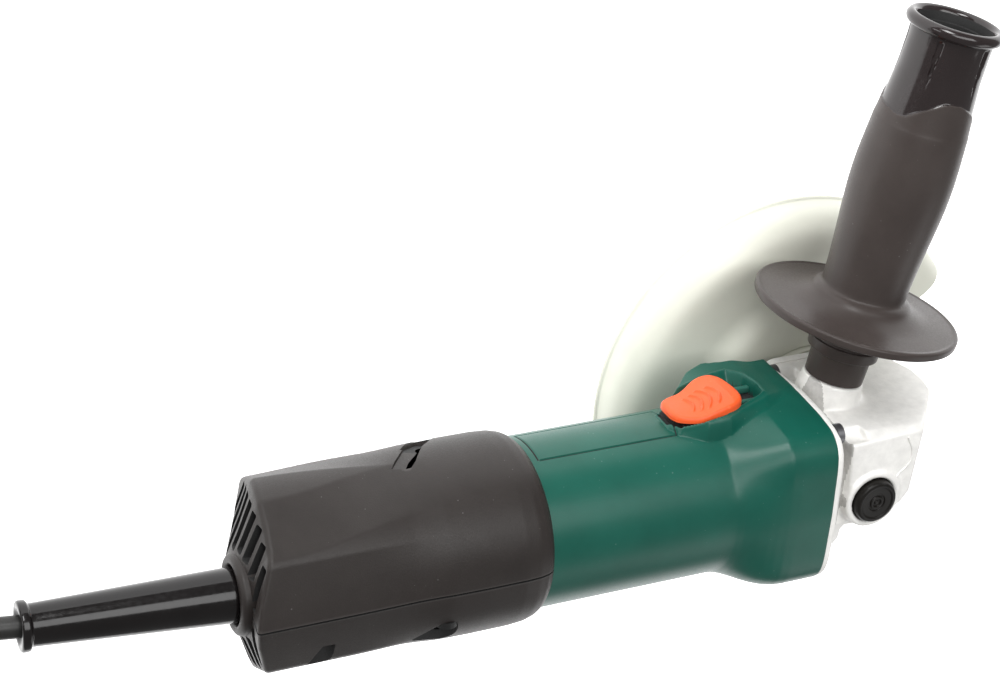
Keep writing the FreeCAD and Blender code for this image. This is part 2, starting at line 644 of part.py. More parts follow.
def make_fan():
    hub = x_tube(8.5, SHAFT_R, -58, -46)
    disc = x_tube(23.5, 8.5, -48, -46)
    blade = box(-58, -47.5, 9.0, 23.0, -0.7, 0.7)
    blades = [rotated(rotated(blade, Vector(0, 16, 0), X_DIR, 28), ORIGIN, X_DIR, 24 * index)
              for index in range(15)]
    blades = [item.common(x_cylinder(23.5, -59, -46)) for item in blades]
    return hub.fuse([disc] + blades)


def make_stator():
    core = x_tube(STATOR_R, STATOR_BORE_R, CORE_REAR_X, CORE_FRONT_X)
    for quarter in range(4):
        slot = box(CORE_REAR_X - 1, CORE_FRONT_X + 1, -3.0, 3.0, STATOR_BORE_R - 1, STATOR_R - 4)
        core = core.cut(rotated(slot, ORIGIN, X_DIR, 45 + 90 * quarter))
    flat = box(CORE_REAR_X - 1, CORE_FRONT_X + 1, 24.2, 30, -30, 30)
    return core.cut(flat).cut(rotated(flat, ORIGIN, X_DIR, 180))


def make_field_coils():
    """Two coils: side bars through the stator's slots, joined over the ends."""
    coils = []
    for turn in (0, 180):
        bars = []
        for angle in (45, -45):
            bar = box(CORE_REAR_X - 6, CORE_FRONT_X + 6, -2.6, 2.6, STATOR_BORE_R + 0.4, STATOR_R - 4.4)
            bars.append(rotated(bar, ORIGIN, X_DIR, angle))
        ends = x_tube(STATOR_R - 4.4, STATOR_BORE_R + 0.4, CORE_REAR_X - 7, CORE_REAR_X - 1.5)
        ends = ends.fuse(x_tube(STATOR_R - 4.4, STATOR_BORE_R + 0.4, CORE_FRONT_X + 1.5, CORE_FRONT_X + 7))
        wedge = Part.Face(Part.makePolygon([Vector(-150, 0, 0), Vector(-150, -27, 27), Vector(-150, 0, 40),
                                            Vector(-150, 27, 27), Vector(-150, 0, 0)]))
        ends = ends.common(wedge.extrude(Vector(120, 0, 0)))
        coil = ends.fuse(bars)
        coil = coil.cut(box(-160, -50, -40, 40, -40, 0.4))
        coils.append(rotated(coil, ORIGIN, X_DIR, turn))
    return group(coils)


def make_baffle():
    return revolved([(-64.0, 25.8), (-64.0, 24.6), (-61.5, 17.0), (-60.0, 17.0), (-60.0, 25.8)], X_DIR)


def make_brush_holders():
    holders = []
    for side in (1, -1):
        low, high = sorted((side * 12.0, side * 25.5))
        outer = box(BRUSH_X - 5.4, BRUSH_X + 5.4, -4.0, 4.0, low, high)
        inner_low, inner_high = sorted((side * 11.0, side * 24.7))
        holders.append(outer.cut(box(BRUSH_X - 4.4, BRUSH_X + 4.4, -3.0, 3.0, inner_low, inner_high)))
    return group(holders)


def make_brush(side):
    low, high = sorted((side * (COMMUTATOR_R + 0.05), side * 18.5))
    brush = box(BRUSH_X - 4.3, BRUSH_X + 4.3, -2.9, 2.9, low, high)
    return brush.cut(x_cylinder(COMMUTATOR_R + 0.05, -145, -125))


def make_rear_boot():
    boot = x_tube(12.7, 11.05, -156.0, -148.0)
    return boot.fuse(x_tube(12.7, 6.0, -157.2, -156.0))


# ---------------------------------------------------------------- switch and wiring

def make_knob():
    cap = box(KNOB_X - 16, KNOB_X + 16, 31.6, 37.2, -13.2, 13.2)
    cap = filleted(cap, 6.0, lambda e: abs(e.tangentAt(e.FirstParameter).y) > 0.9)
    cap = filleted(cap, 1.8, lambda e: e.BoundBox.YMin > 37.1)
    shank = box(KNOB_X - 8, KNOB_X + 8, 27.6, 32, -2.8, 2.8)
    knob = cap.fuse(shank)
    for index in range(4):
        x = KNOB_X - 9 + 5.5 * index
        ridge = cylinder(0.7, (x, 37.1, -8), Z_DIR, 16)
        knob = knob.fuse(ridge)
    return knob


def make_switch_rod():
    strip = box(-178, KNOB_X + 9, 26.3, 27.6, -2.6, 2.6)
    hook = box(-180, -177, 19.0, 27.6, -2.6, 2.6)
    return strip.fuse(hook)


def make_switch_unit():
    case = box(-204, -184, 8.5, 20.5, -9, 9)
    case = filleted(case, 1.2, lambda e: True)
    plunger = box(-184, -180.2, 12, 15.5, -2.2, 2.2)
    terminals = [box(-209, -203.5, 10, 11, z - 2, z + 2) for z in (-5.5, 5.5)]
    return case.fuse([plunger] + terminals)


def make_capacitor():
    case = box(-205, -180, -19, -7, -8, 8)
    return filleted(case, 1.5, lambda e: True)


def make_cord_clamp():
    clamp = box(-226, -219, -12, 12, CORD_AXIS_Z + 4.6, CORD_AXIS_Z + 7.6)
    return clamp.cut(cord_lead(0.0)).cut(clamp_screw_holes(2.1))


def clamp_screw_holes(radius):
    return group([z_cylinder(radius, CORD_AXIS_Z - 12, CORD_AXIS_Z + 12, -222.5, y) for y in (9, -9)])


def make_clamp_screws():
    screws = []
    for y in (9, -9):
        shank = z_cylinder(1.9, CORD_AXIS_Z - 3, CORD_AXIS_Z + 7.6, -222.5, y)
        head = z_cylinder(3.2, CORD_AXIS_Z + 7.6, CORD_AXIS_Z + 9.8, -222.5, y)
        screws.append(shank.fuse(head).cut(box(-226, -219, y - 0.5, y + 0.5, CORD_AXIS_Z + 9, CORD_AXIS_Z + 11)))
    return group(screws)


# ---------------------------------------------------------------- lead, sleeve and plug

def sleeve_direction():
    drop = math.radians(SLEEVE_DROP_DEG)
    return Vector(-math.cos(drop), 0, -math.sin(drop))


def sleeve_start():
    return Vector(REAR_END_X, 0, CORD_AXIS_Z)


def sleeve_along(x):
    return (REAR_END_X - x) / math.cos(math.radians(SLEEVE_DROP_DEG))


def sleeve_outer(grow):
    start, end = sleeve_along(SLEEVE_FROM_X), sleeve_along(SLEEVE_END_X)
    profile = [(start, 0), (start, 9.0 + grow), (0, 9.0 + grow), (end - 3, 6.8 + grow), (end - 3, 0)]
    return revolved(profile, sleeve_direction(), sleeve_start())


def sleeve_flange(grow):
    start = sleeve_along(SLEEVE_FROM_X)
    profile = [(start - grow, 0), (start - grow, 11.0 + grow), (start + 2.5 + grow, 11.0 + grow),
               (start + 2.5 + grow, 0)]
    return revolved(profile, sleeve_direction(), sleeve_start())


def make_sleeve():
    end = sleeve_along(SLEEVE_END_X)
    centre = sleeve_start() + sleeve_direction() * (end - 2.0)
    bead = Part.makeTorus(6.0, 2.1, centre, sleeve_direction())
    filler = Part.makeCylinder(6.4, 4.0, sleeve_start() + sleeve_direction() * (end - 4.0), sleeve_direction())
    body = sleeve_outer(0.0).fuse([sleeve_flange(0.0), bead, filler])
    return body.cut(cord_lead(0.0))


def cord_lead(grow):
    """The straight length of cord inside the sleeve and up to the clamp."""
    inside = sleeve_along(-214.0)
    end = sleeve_along(CORD_ROUTE[0][0])
    start = sleeve_start() + sleeve_direction() * inside
    return Part.makeCylinder(CORD_D / 2 + grow, end - inside, start, sleeve_direction())


def cord_path(points):
    """Straight runs joined by tangent arcs, as a list of edges, with the arcs' radii printed."""
    corners = [Vector(*point) for point in points]
    edges, radii = [], []
    last = corners[0]
    for before, corner, after in zip(corners, corners[1:], corners[2:]):
        arriving, leaving = corner - before, after - corner
        turn = arriving.getAngle(leaving)
        trim = 0.45 * min(arriving.Length, leaving.Length)
        radius = trim / math.tan(turn / 2)
        radii.append(round(radius, 1))
        start = corner - Vector(arriving).normalize() * trim
        end = corner + Vector(leaving).normalize() * trim
        inward = (Vector(leaving).normalize() - Vector(arriving).normalize()).normalize()
        middle = corner + inward * (radius / math.cos(turn / 2) - radius)
        edges.append(Part.LineSegment(last, start).toShape())
        edges.append(Part.Arc(start, middle, end).toShape())
        last = end
    edges.append(Part.LineSegment(last, corners[-1]).toShape())
    print("cord arc radii", radii)
    return edges


def make_cord():
    """The lead from the clamp, straight along the sleeve's axis, and then along its route to the coil."""
    start = sleeve_start() + sleeve_direction() * sleeve_along(-214.0)
    edges = cord_path(CORD_ROUTE)
    lead = Part.LineSegment(start, Vector(*CORD_ROUTE[0])).toShape()
    path = Part.Wire([lead] + edges)
    section = Part.Wire(Part.makeCircle(CORD_D / 2, start, sleeve_direction()))
    tube = path.makePipeShell([section], True, False)
    expected = math.pi * (CORD_D / 2) ** 2 * path.Length
    print("cord length", round(path.Length, 1), "volume ratio", round(tube.Volume / expected, 4))
    return tube


def coil_sizes():
    half_width = (COIL_LAYERS - 1) / 2 * CORD_D + CORD_D / 2
    return COIL_MEAN_R - half_width, COIL_MEAN_R + half_width, COIL_LAYERS * CORD_D


def make_coil():
    inner_r, outer_r, height = coil_sizes()
    x, y = COIL_CENTRE
    return z_tube(outer_r, inner_r, GUARD_RIM_Z, GUARD_RIM_Z + height, x, y)


PLUG_START = (COIL_CENTRE[0] - COIL_MEAN_R - CORD_D - 0.6, COIL_CENTRE[1] + 24.0)
PLUG_AXIS_Z = GUARD_RIM_Z + 13.0


def make_plug():
    """A two-pin contour plug lying on the floor, pins pointing along +Y."""
    x, y = PLUG_START
    relief = Part.makeCone(CORD_D / 2 + 0.6, 7.0, 20.0, Vector(x, y, PLUG_AXIS_Z), Y_DIR)
    body = box(x - 17.5, x + 17.5, y + 18, y + 52, PLUG_AXIS_Z - 13, PLUG_AXIS_Z + 13)
    body = filleted(body, 7.0, lambda e: abs(e.tangentAt(e.FirstParameter).y) > 0.9)
    plug = relief.fuse(body)
    return plug.cut(group([cylinder(2.4, (x + dx, y + 40, PLUG_AXIS_Z), Y_DIR, 20) for dx in (-9.5, 9.5)]))


def make_plug_pins():
    x, y = PLUG_START
    return group([cylinder(2.4, (x + dx, y + 40, PLUG_AXIS_Z), Y_DIR, 31) for dx in (-9.5, 9.5)])


# ---------------------------------------------------------------- side handle

# Each profile is (distance from the collar's end, radius)
COLLAR_PROFILE = [(0.0, 0.0), (0.0, 10.5), (10.0, 10.8), (10.5, 12.7), (14.5, 13.8)]
FLANGE_PROFILE = [(21.0, 13.8), (24.2, 22.0), (25.0, HANDLE_FLANGE_R - 0.6), (25.9, HANDLE_FLANGE_R),
                  (26.9, HANDLE_FLANGE_R - 0.5), (28.0, 22.0), (31.0, 14.5)]
GRIP_PROFILE = [(39.0, 14.8), (53.0, 15.9), (67.0, 17.3), (81.0, 17.5), (93.0, 16.5), (103.0, 15.6),
                (115.0, 14.6), (126.0, 14.6), (129.5, 16.3), (131.3, 16.9), (133.0, 16.1), (133.4, 14.8)]
BORE_PROFILE = [(133.0, 13.2), (129.0, 12.3), (91.0, 11.4), (87.0, 0.0)]
STUD_HEX_FROM = 29.0            # from the collar's end
STUD_HEX_TO = 36.0


def make_side_handle():
    profile = COLLAR_PROFILE + FLANGE_PROFILE + GRIP_PROFILE + BORE_PROFILE
    grip = revolved(profile, handle_direction(1), handle_point(HANDLE_SEAT))
    grip = grip.cut(handle_cylinder(4.0, HANDLE_SEAT - 1, HANDLE_SEAT + STUD_HEX_FROM))
    return grip.cut(handle_hex())


def handle_hex():
    """The stud's hexagon head, moulded into the grip."""
    from_s, to_s = HANDLE_SEAT + STUD_HEX_FROM, HANDLE_SEAT + STUD_HEX_TO
    side = Z_DIR
    across = handle_direction(1).cross(side)
    points = []
    for index in range(7):
        angle = math.radians(60 * index)
        points.append(handle_point(from_s) + side * (7.0 * math.cos(angle)) + across * (7.0 * math.sin(angle)))
    return Part.Face(Part.makePolygon(points)).extrude(handle_direction(1) * (to_s - from_s))


def make_handle_stud():
    shank = handle_cylinder(4.0, HANDLE_SEAT, HANDLE_SEAT + STUD_HEX_FROM)
    thread = handle_cylinder(3.4, HANDLE_SEAT - 9.0, HANDLE_SEAT)
    return shank.fuse([thread, handle_hex()])


# ---------------------------------------------------------------- export

def make_pieces():
    front_outer, front_inner = make_bearing(SHAFT_R, 13.0, -36.5, -28.5, True)
    rear_outer_ring, rear_inner_ring = make_bearing(4.0, 11.0, -155.5, -148.5, True)
    spindle_outer, spindle_inner = make_bearing(SPINDLE_R, 16.0, -37.5, -27.5, False)
    return {
        "motor_housing": make_motor_housing(),
        "rear_shell_left": make_rear_shell(1),
        "rear_shell_right": make_rear_shell(-1),
        "rear_shell_screws": make_shell_screws(),
        "gear_housing": make_gear_housing(),
        "gear_housing_screws": make_gear_screws(),
        "bearing_cover": make_bearing_cover(),
        "bearing_cover_screws": make_cover_screws(),
        "front_bearing_outer": front_outer,
        "front_bearing_inner": front_inner,
        "rear_bearing_outer": rear_outer_ring,
        "rear_bearing_inner": rear_inner_ring,
        "spindle_bearing_outer": spindle_outer,
        "spindle_bearing_inner": spindle_inner,
        "spindle_bush": z_tube(8.0, 5.04, 4.0, 16.5),
        "dust_seal": z_tube(10.4, SPINDLE_R + 0.1, -41.5, -38.2),
        "rear_bearing_boot": make_rear_boot(),
        "air_baffle": make_baffle(),
        "stator_core": make_stator(),
        "field_coils": make_field_coils(),
        "brush_holders": make_brush_holders(),
        "carbon_brush_top": make_brush(1),
        "carbon_brush_bottom": make_brush(-1),
        "brush_spring_top": spring(2.0, 0.3, 18.6, 24.5, 6, Vector(BRUSH_X, 0, 0), Z_DIR),
        "brush_spring_bottom": spring(2.0, 0.3, 18.6, 24.5, 6, Vector(BRUSH_X, 0, 0), Vector(0, 0, -1)),
        "armature_shaft": make_shaft(),
        "armature_core": make_armature_core(),
        "armature_windings": make_windings(),
        "commutator": make_commutator(),
        "fan": make_fan(),
        "pinion": make_pinion(),
        "ring_gear": make_ring_gear(),
        "spindle": make_spindle(),
        "inner_flange": make_inner_flange(),
        "spindle_lock_button": make_lock_button(),
        "lock_pin": make_lock_pin(),
        "lock_spring": spring(4.5, 0.3, 20.2, 23.5, 3, Vector(LOCK_X, 0, 0), Z_DIR),
        "switch_knob": make_knob(),
        "switch_rod": make_switch_rod(),
        "switch_unit": make_switch_unit(),
        "capacitor": make_capacitor(),
        "guard": make_guard(),
        "guard_band": make_guard_band(),
        "guard_screw": make_guard_screw(),
        "side_handle": make_side_handle(),
        "handle_stud": make_handle_stud(),
        "cord_clamp": make_cord_clamp(),
        "cord_clamp_screws": make_clamp_screws(),
        "cord_sleeve": make_sleeve(),
        "cord": make_cord(),
        "cord_coil": make_coil(),
        "plug": make_plug(),
        "plug_pins": make_plug_pins(),
    }


os.makedirs("parts", exist_ok=True)
for name, shape in make_pieces().items():
    shape.translate(Vector(0, 0, AXIS_ABOVE_SEAT))
    shape.exportStep("parts/" + name + ".step")
    print(name, len(shape.Solids), shape.isValid(), round(shape.Volume, 1))
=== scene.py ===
"""Angle grinder: the looks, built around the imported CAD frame.

Shapes are drawn in millimetres about the crossing of the motor axis (X, from the cord to the gear
head) and the spindle axis (Z, away from the disc), +Y towards the side handle. to_row() raises them
to the row frame, whose origin is the disc seat, and turns them into metres.
"""
import json
import math

import bmesh
import bpy
import numpy as np
from mathutils import Matrix, Vector


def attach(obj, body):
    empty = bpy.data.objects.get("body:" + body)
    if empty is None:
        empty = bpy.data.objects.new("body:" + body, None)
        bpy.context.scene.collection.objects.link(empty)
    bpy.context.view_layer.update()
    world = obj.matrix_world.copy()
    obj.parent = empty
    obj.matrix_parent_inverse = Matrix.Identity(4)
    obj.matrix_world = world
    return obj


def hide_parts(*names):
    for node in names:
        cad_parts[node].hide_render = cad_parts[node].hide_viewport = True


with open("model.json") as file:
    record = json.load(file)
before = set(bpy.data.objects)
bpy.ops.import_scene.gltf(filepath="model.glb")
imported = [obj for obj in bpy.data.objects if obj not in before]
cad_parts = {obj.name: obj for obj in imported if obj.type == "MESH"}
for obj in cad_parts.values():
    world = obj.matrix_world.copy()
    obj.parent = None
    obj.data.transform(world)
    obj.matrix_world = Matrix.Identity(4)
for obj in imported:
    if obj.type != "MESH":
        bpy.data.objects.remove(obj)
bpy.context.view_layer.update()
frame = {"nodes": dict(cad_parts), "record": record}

# ------ dimensions, in mm

AXIS_ABOVE_SEAT = 48.0
FLOOR_Z = -60.0

BODY_R = 29.3
BODY_BORE_R = 26.05
SKIN_FRONT_X = -28.9
SPIGOT_X = -150.0

REAR_FRONT_X = -135.2
REAR_EDGE_R = 31.4
REAR_WALL = 2.6
REAR_END_X = -241.0
REAR_FACE_X = -237.2
CORD_AXIS_Z = 8.7
COLLAR_R = 13.2
VENT_PITCH = 5.5
VENT_TOP_Z = 23.4
VENT_WIDTH = 3.8
VENT_DEPTH = 34.0

GEAR_TOP_Z = 26.0
GEAR_BOTTOM_Z = -30.0
LOCK_X = -9.8
LOCK_R = 8.2
LOCK_TOP_Z = 29.6
LOCK_BORE_Z = 19.6               # deep enough for the pressed button
FLANGE_SCREW_Y, FLANGE_SCREW_Z = 26.4, 21.5

GUARD_FROM_DEG = 35.0
GUARD_SPAN_DEG = 180.0

HANDLE_X = -18.8
HANDLE_Z = -4.6
HANDLE_SEAT = 33.7
HANDLE_TILT_DEG = 12.0

SLEEVE_DROP_DEG = 4.5
SLEEVE_END_X = -307.0
CORD_D = 7.4
COIL_X, COIL_Y = -422.0, 46.0
COIL_POINTS = 16                # spline points in each turn
PLUG_HALF_W, PLUG_HALF_H = 17.4, 12.9

X_DIR = np.array([1.0, 0.0, 0.0])
Y_DIR = np.array([0.0, 1.0, 0.0])
Z_DIR = np.array([0.0, 0.0, 1.0])


def to_row(points):
    """Millimetres about the crossing axes to metres in the row frame."""
    lifted = np.asarray(points, float).reshape(-1, 3) + (0.0, 0.0, AXIS_ABOVE_SEAT)
    return lifted * 0.001


def new_object(name, data):
    """An object around some data, linked into the scene."""
    thing = bpy.data.objects.new(name, data)
    bpy.context.scene.collection.objects.link(thing)
    return thing


# ------ camera

CAMERA_PLACE = (-0.4862573, 0.4704573, 0.6976818)
CAMERA_RIGHT = (0.9015, 0.0727, 0.4267)
CAMERA_BACK = (-0.4068, 0.479, 0.7778)


def make_camera():
    data = bpy.data.cameras.new("camera")
    data.sensor_width = 36.0
    data.lens = 93.716
    data.clip_start, data.clip_end = 0.05, 20.0
    camera = new_object("camera", data)
    back = Vector(CAMERA_BACK).normalized()
    up = back.cross(Vector(CAMERA_RIGHT)).normalized()
    right = up.cross(back)
    camera.matrix_world = Matrix.Translation(CAMERA_PLACE) @ Matrix((right, up, back)).transposed().to_4x4()
    bpy.context.scene.camera = camera


make_camera()

# ------ materials


def new_material(name):
    material = bpy.data.materials.new(name)
    material.use_nodes = True
    nodes = material.node_tree.nodes
    return material, nodes, material.node_tree.links, nodes["Principled BSDF"]


def set_inputs(node, values):
    """Fill in a node's sockets by name."""
    for socket, value in values.items():
        node.inputs[socket].default_value = value


def noise(nodes, links, place, scale, detail=3.0, rough=0.55):
    node = nodes.new("ShaderNodeTexNoise")
    set_inputs(node, {"Scale": scale, "Detail": detail, "Roughness": rough})
    links.new(place, node.inputs["Vector"])
    return node.outputs["Fac"]


def ramp(nodes, links, value, low, high, out_low, out_high):
    node = nodes.new("ShaderNodeMapRange")
    set_inputs(node, {"From Min": low, "From Max": high, "To Min": out_low, "To Max": out_high})
    links.new(value, node.inputs["Value"])
    return node.outputs["Result"]


def blend_colours(nodes, links, share, first, second):
    node = nodes.new("ShaderNodeMix")
    node.data_type = "RGBA"
    links.new(share, node.inputs["Factor"])
    for socket, colour in ((node.inputs[6], first), (node.inputs[7], second)):
        if isinstance(colour, tuple):
            socket.default_value = (*colour, 1.0)
        else:
            links.new(colour, socket)
    return node.outputs[2]


def finish_material(name, colour, roughness, metallic=0.0, specular=0.5, coat=0.0, grain_mm=0.5,
                    grain_depth_mm=0.01, mottle=0.08, mottle_mm=18.0, rough_spread=0.06, dust=0.0,
                    wear=0.0, stretch=None):
    """A moulded, cast or turned finish.

    Slow mottling shifts the colour, fine grain shows in the roughness and the bump, convex edges are
    worn lighter, and specks of dust lie on it. stretch pulls the grain out along one axis.
    """
    material, nodes, links, shader = new_material(name)
    place = nodes.new("ShaderNodeTexCoord").outputs["Object"]
    grain_place = place
    if stretch is not None:
        mapping = nodes.new("ShaderNodeMapping")
        mapping.inputs["Scale"].default_value = stretch
        links.new(place, mapping.inputs["Vector"])
        grain_place = mapping.outputs["Vector"]
    slow = noise(nodes, links, place, 1000.0 / mottle_mm, 4.0, 0.6)
    fine = noise(nodes, links, grain_place, 1000.0 / grain_mm, 2.0, 0.5)
    darker = tuple(c * (1.0 - mottle) for c in colour)
    lighter = tuple(min(1.0, c * (1.0 + mottle) + 0.02 * mottle) for c in colour)
    shade = blend_colours(nodes, links, ramp(nodes, links, slow, 0.3, 0.7, 0.0, 1.0), darker, lighter)
    if wear > 0.0:
        edges = nodes.new("ShaderNodeNewGeometry").outputs["Pointiness"]
        worn = ramp(nodes, links, edges, 0.52, 0.62, 0.0, wear)
        pale = tuple(min(1.0, c * 1.6 + 0.06) for c in colour)
        shade = blend_colours(nodes, links, worn, shade, pale)
    if dust > 0.0:
        cells = nodes.new("ShaderNodeTexVoronoi")
        cells.inputs["Scale"].default_value = 330.0
        links.new(place, cells.inputs["Vector"])
        gather = nodes.new("ShaderNodeMath")
        gather.operation = "DIVIDE"
        links.new(cells.outputs["Distance"], gather.inputs[0])
        links.new(ramp(nodes, links, slow, 0.45, 0.7, 0.25, 1.6), gather.inputs[1])
        speck = ramp(nodes, links, gather.outputs[0], 0.04, 0.08, dust, 0.0)
        shade = blend_colours(nodes, links, speck, shade, tuple(min(1.0, c * 1.5 + 0.2) for c in colour))
    links.new(shade, shader.inputs["Base Color"])
    rough = ramp(nodes, links, fine, 0.3, 0.7, max(0.02, roughness - rough_spread), roughness + rough_spread)
    links.new(rough, shader.inputs["Roughness"])
    bump = nodes.new("ShaderNodeBump")
    set_inputs(bump, {"Strength": 1.0, "Distance": grain_depth_mm * 0.001})
    links.new(fine, bump.inputs["Height"])
    links.new(bump.outputs["Normal"], shader.inputs["Normal"])
    set_inputs(shader, {"Metallic": metallic, "Specular IOR Level": specular, "Coat Weight": coat})
    return material


# colour, roughness and whatever differs from the usual finish
FINISHES = {
    "green_plastic": ((0.004, 0.078, 0.055), 0.34, dict(specular=0.32, grain_mm=0.45, dust=0.3, wear=0.3)),
    "grey_plastic": ((0.020, 0.016, 0.0145), 0.44,
        dict(specular=0.3, grain_depth_mm=0.03, mottle=0.1, dust=0.3, wear=0.4)),
    "handle_plastic": ((0.045, 0.036, 0.033), 0.38,
        dict(specular=0.25, grain_mm=0.6, grain_depth_mm=0.012, dust=0.25, wear=0.35)),
    "handle_gloss": ((0.016, 0.011, 0.011), 0.14,
        dict(grain_mm=1.2, grain_depth_mm=0.005, rough_spread=0.04, wear=0.2)),
    "black_plastic": ((0.006, 0.005, 0.004), 0.35, dict(specular=0.2, grain_mm=0.4, mottle=0.15, wear=0.2)),
    "orange_plastic": ((0.80, 0.10, 0.022), 0.4, dict(specular=0.3, mottle=0.05, wear=0.25)),
    "blue_plastic": ((0.03, 0.09, 0.3), 0.3, dict(mottle=0.05)),
    "cast_aluminium": ((0.86, 0.85, 0.82), 0.5, dict(metallic=0.2, grain_mm=0.8, grain_depth_mm=0.05,
        mottle=0.06, mottle_mm=4.0, rough_spread=0.12)),
    # rough cast texture, its colour painted darker for the shade in the trough behind the gear head
    "rough_cast_shaded": ((0.52, 0.51, 0.49), 0.6, dict(metallic=0.3, grain_mm=0.9, grain_depth_mm=0.18,
        mottle=0.12, mottle_mm=3.0, rough_spread=0.15)),
    "zinc_steel": ((0.67, 0.675, 0.59), 0.45,
        dict(grain_mm=1.4, grain_depth_mm=0.006, mottle=0.05, mottle_mm=30.0)),
    "screw_steel": ((0.2, 0.2, 0.21), 0.4, dict(metallic=0.9, mottle=0.1)),
    "blackened_steel": ((0.02, 0.02, 0.02), 0.5, dict(metallic=0.5, mottle=0.1)),
    "machined_steel": ((0.56, 0.56, 0.57), 0.24,
        dict(metallic=1.0, grain_mm=0.3, mottle=0.05, stretch=(1.0, 1.0, 6.0))),
    "bearing_steel": ((0.68, 0.68, 0.7), 0.14, dict(metallic=1.0, mottle=0.03, rough_spread=0.03)),
    "spring_steel": ((0.4, 0.4, 0.41), 0.3, dict(metallic=1.0)),
    "lamination_steel": ((0.25, 0.25, 0.26), 0.5,
        dict(metallic=0.9, grain_depth_mm=0.05, mottle=0.1, stretch=(8.0, 0.2, 0.2))),
    "copper": ((0.72, 0.27, 0.12), 0.32, dict(metallic=0.9, grain_mm=0.6, grain_depth_mm=0.08, mottle=0.1)),
    "brass": ((0.72, 0.55, 0.25), 0.3, dict(metallic=1.0, mottle=0.06)),
    "bronze": ((0.5, 0.33, 0.15), 0.45, dict(metallic=1.0, grain_depth_mm=0.03, mottle=0.1)),
    "pin_brass": ((0.75, 0.74, 0.72), 0.2, dict(metallic=1.0, mottle=0.04)),
    "carbon": ((0.03, 0.03, 0.03), 0.55, dict(mottle=0.15)),
    "black_rubber": ((0.004, 0.003, 0.003), 0.16,
        dict(specular=0.3, grain_mm=1.5, mottle=0.1, rough_spread=0.05, coat=0.15)),
    "cord_rubber": ((0.02, 0.02, 0.019), 0.38, dict(specular=0.3, grain_mm=1.0, mottle=0.1, dust=0.2)),
    # painted shade: near black, for insides, gaps, bores, cut walls and the recess floor where shade falls
    "dark_inside": ((0.01, 0.01, 0.01), 0.8, dict(mottle=0.1)),
}
MATERIALS = {name: finish_material(name, colour, roughness, **rest)
             for name, (colour, roughness, rest) in FINISHES.items()}

# ------ mesh helpers

SHARP_DEG = 38.0


def mark_sharp(mesh, degrees=SHARP_DEG):
    """Smooth faces everywhere, with the edges that turn by more than this left sharp."""
    work = bmesh.new()
    work.from_mesh(mesh)
    limit = math.radians(degrees)
    for face in work.faces:
        face.smooth = True
    for edge in work.edges:
        edge.smooth = len(edge.link_faces) != 2 or edge.calc_face_angle(0.0) < limit
    work.to_mesh(mesh)
    work.free()


def add_piece(name, points, faces, material, body=None, replaces=(), sharp=SHARP_DEG):
    """A mesh piece from points in mm, riding on a body and standing for CAD nodes."""
    mesh = bpy.data.meshes.new(name)
    mesh.from_pydata(to_row(points).tolist(), [], [list(map(int, face)) for face in faces])
    mesh.validate()
    work = bmesh.new()
    work.from_mesh(mesh)
    bmesh.ops.remove_doubles(work, verts=work.verts, dist=2e-6)
    bmesh.ops.recalc_face_normals(work, faces=work.faces)
    work.to_mesh(mesh)
    work.free()
    mark_sharp(mesh, sharp)
    mesh.materials.append(MATERIALS[material])
    piece = new_object(name, mesh)
    if body is not None:
        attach(piece, body)
    if replaces:
        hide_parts(*replaces)
    return piece


def grid_faces(rows, columns, start=0, wrap_rows=False, wrap_columns=False):
    faces = []
    for row in range(rows if wrap_rows else rows - 1):
        for column in range(columns if wrap_columns else columns - 1):
            a = start + row * columns + column
            b = start + row * columns + (column + 1) % columns
            below = (row + 1) % rows
            c = start + below * columns + (column + 1) % columns
            d = start + below * columns + column
            faces.append((a, b, c, d))
    return faces


def shell(outer, inner, wrap):
    """Points and faces of a closed wall between two equal grids; wrap joins the first and last columns."""
    rows, columns = outer.shape[:2]
    points = np.concatenate([outer.reshape(-1, 3), inner.reshape(-1, 3)])
    offset = rows * columns
    faces = grid_faces(rows, columns, 0, False, wrap)
    faces += [face[::-1] for face in grid_faces(rows, columns, offset, False, wrap)]
    span = range(columns if wrap else columns - 1)
    for column in span:
        after = (column + 1) % columns
        faces.append((column, offset + column, offset + after, after))
        base = (rows - 1) * columns
        faces.append((base + column, base + after, offset + base + after, offset + base + column))
    if not wrap:
        for row in range(rows - 1):
            a, b = row * columns, (row + 1) * columns
            faces.append((a, b, offset + b, offset + a))
            a, b = a + columns - 1, b + columns - 1
            faces.append((a, offset + a, offset + b, b))
    return points, faces


def rounded_profile(corners, steps=5):
    """(along, radius, fillet) corners to a list of (along, radius), each corner eased over its fillet."""
    out = []
    count = len(corners)
    for index, (along, radius, fillet) in enumerate(corners):
        here = np.array([along, radius])
        if fillet <= 0.0 or index in (0, count - 1):
            out.append(here)
            continue
        before = np.array(corners[index - 1][:2]) - here
        after = np.array(corners[index + 1][:2]) - here
        reach_before = min(fillet, 0.48 * np.linalg.norm(before)) / np.linalg.norm(before)
        reach_after = min(fillet, 0.48 * np.linalg.norm(after)) / np.linalg.norm(after)
        start, end = here + before * reach_before, here + after * reach_after
        for step in range(steps + 1):
            t = step / steps
            out.append(start * (1 - t) ** 2 + here * 2 * t * (1 - t) + end * t * t)
    return np.array(out)


def across(direction, towards):
    """Two unit vectors square to direction, the first as near as can be to towards."""
    first = towards - direction * np.dot(towards, direction)
    first = first / np.linalg.norm(first)
    return first, np.cross(direction, first)


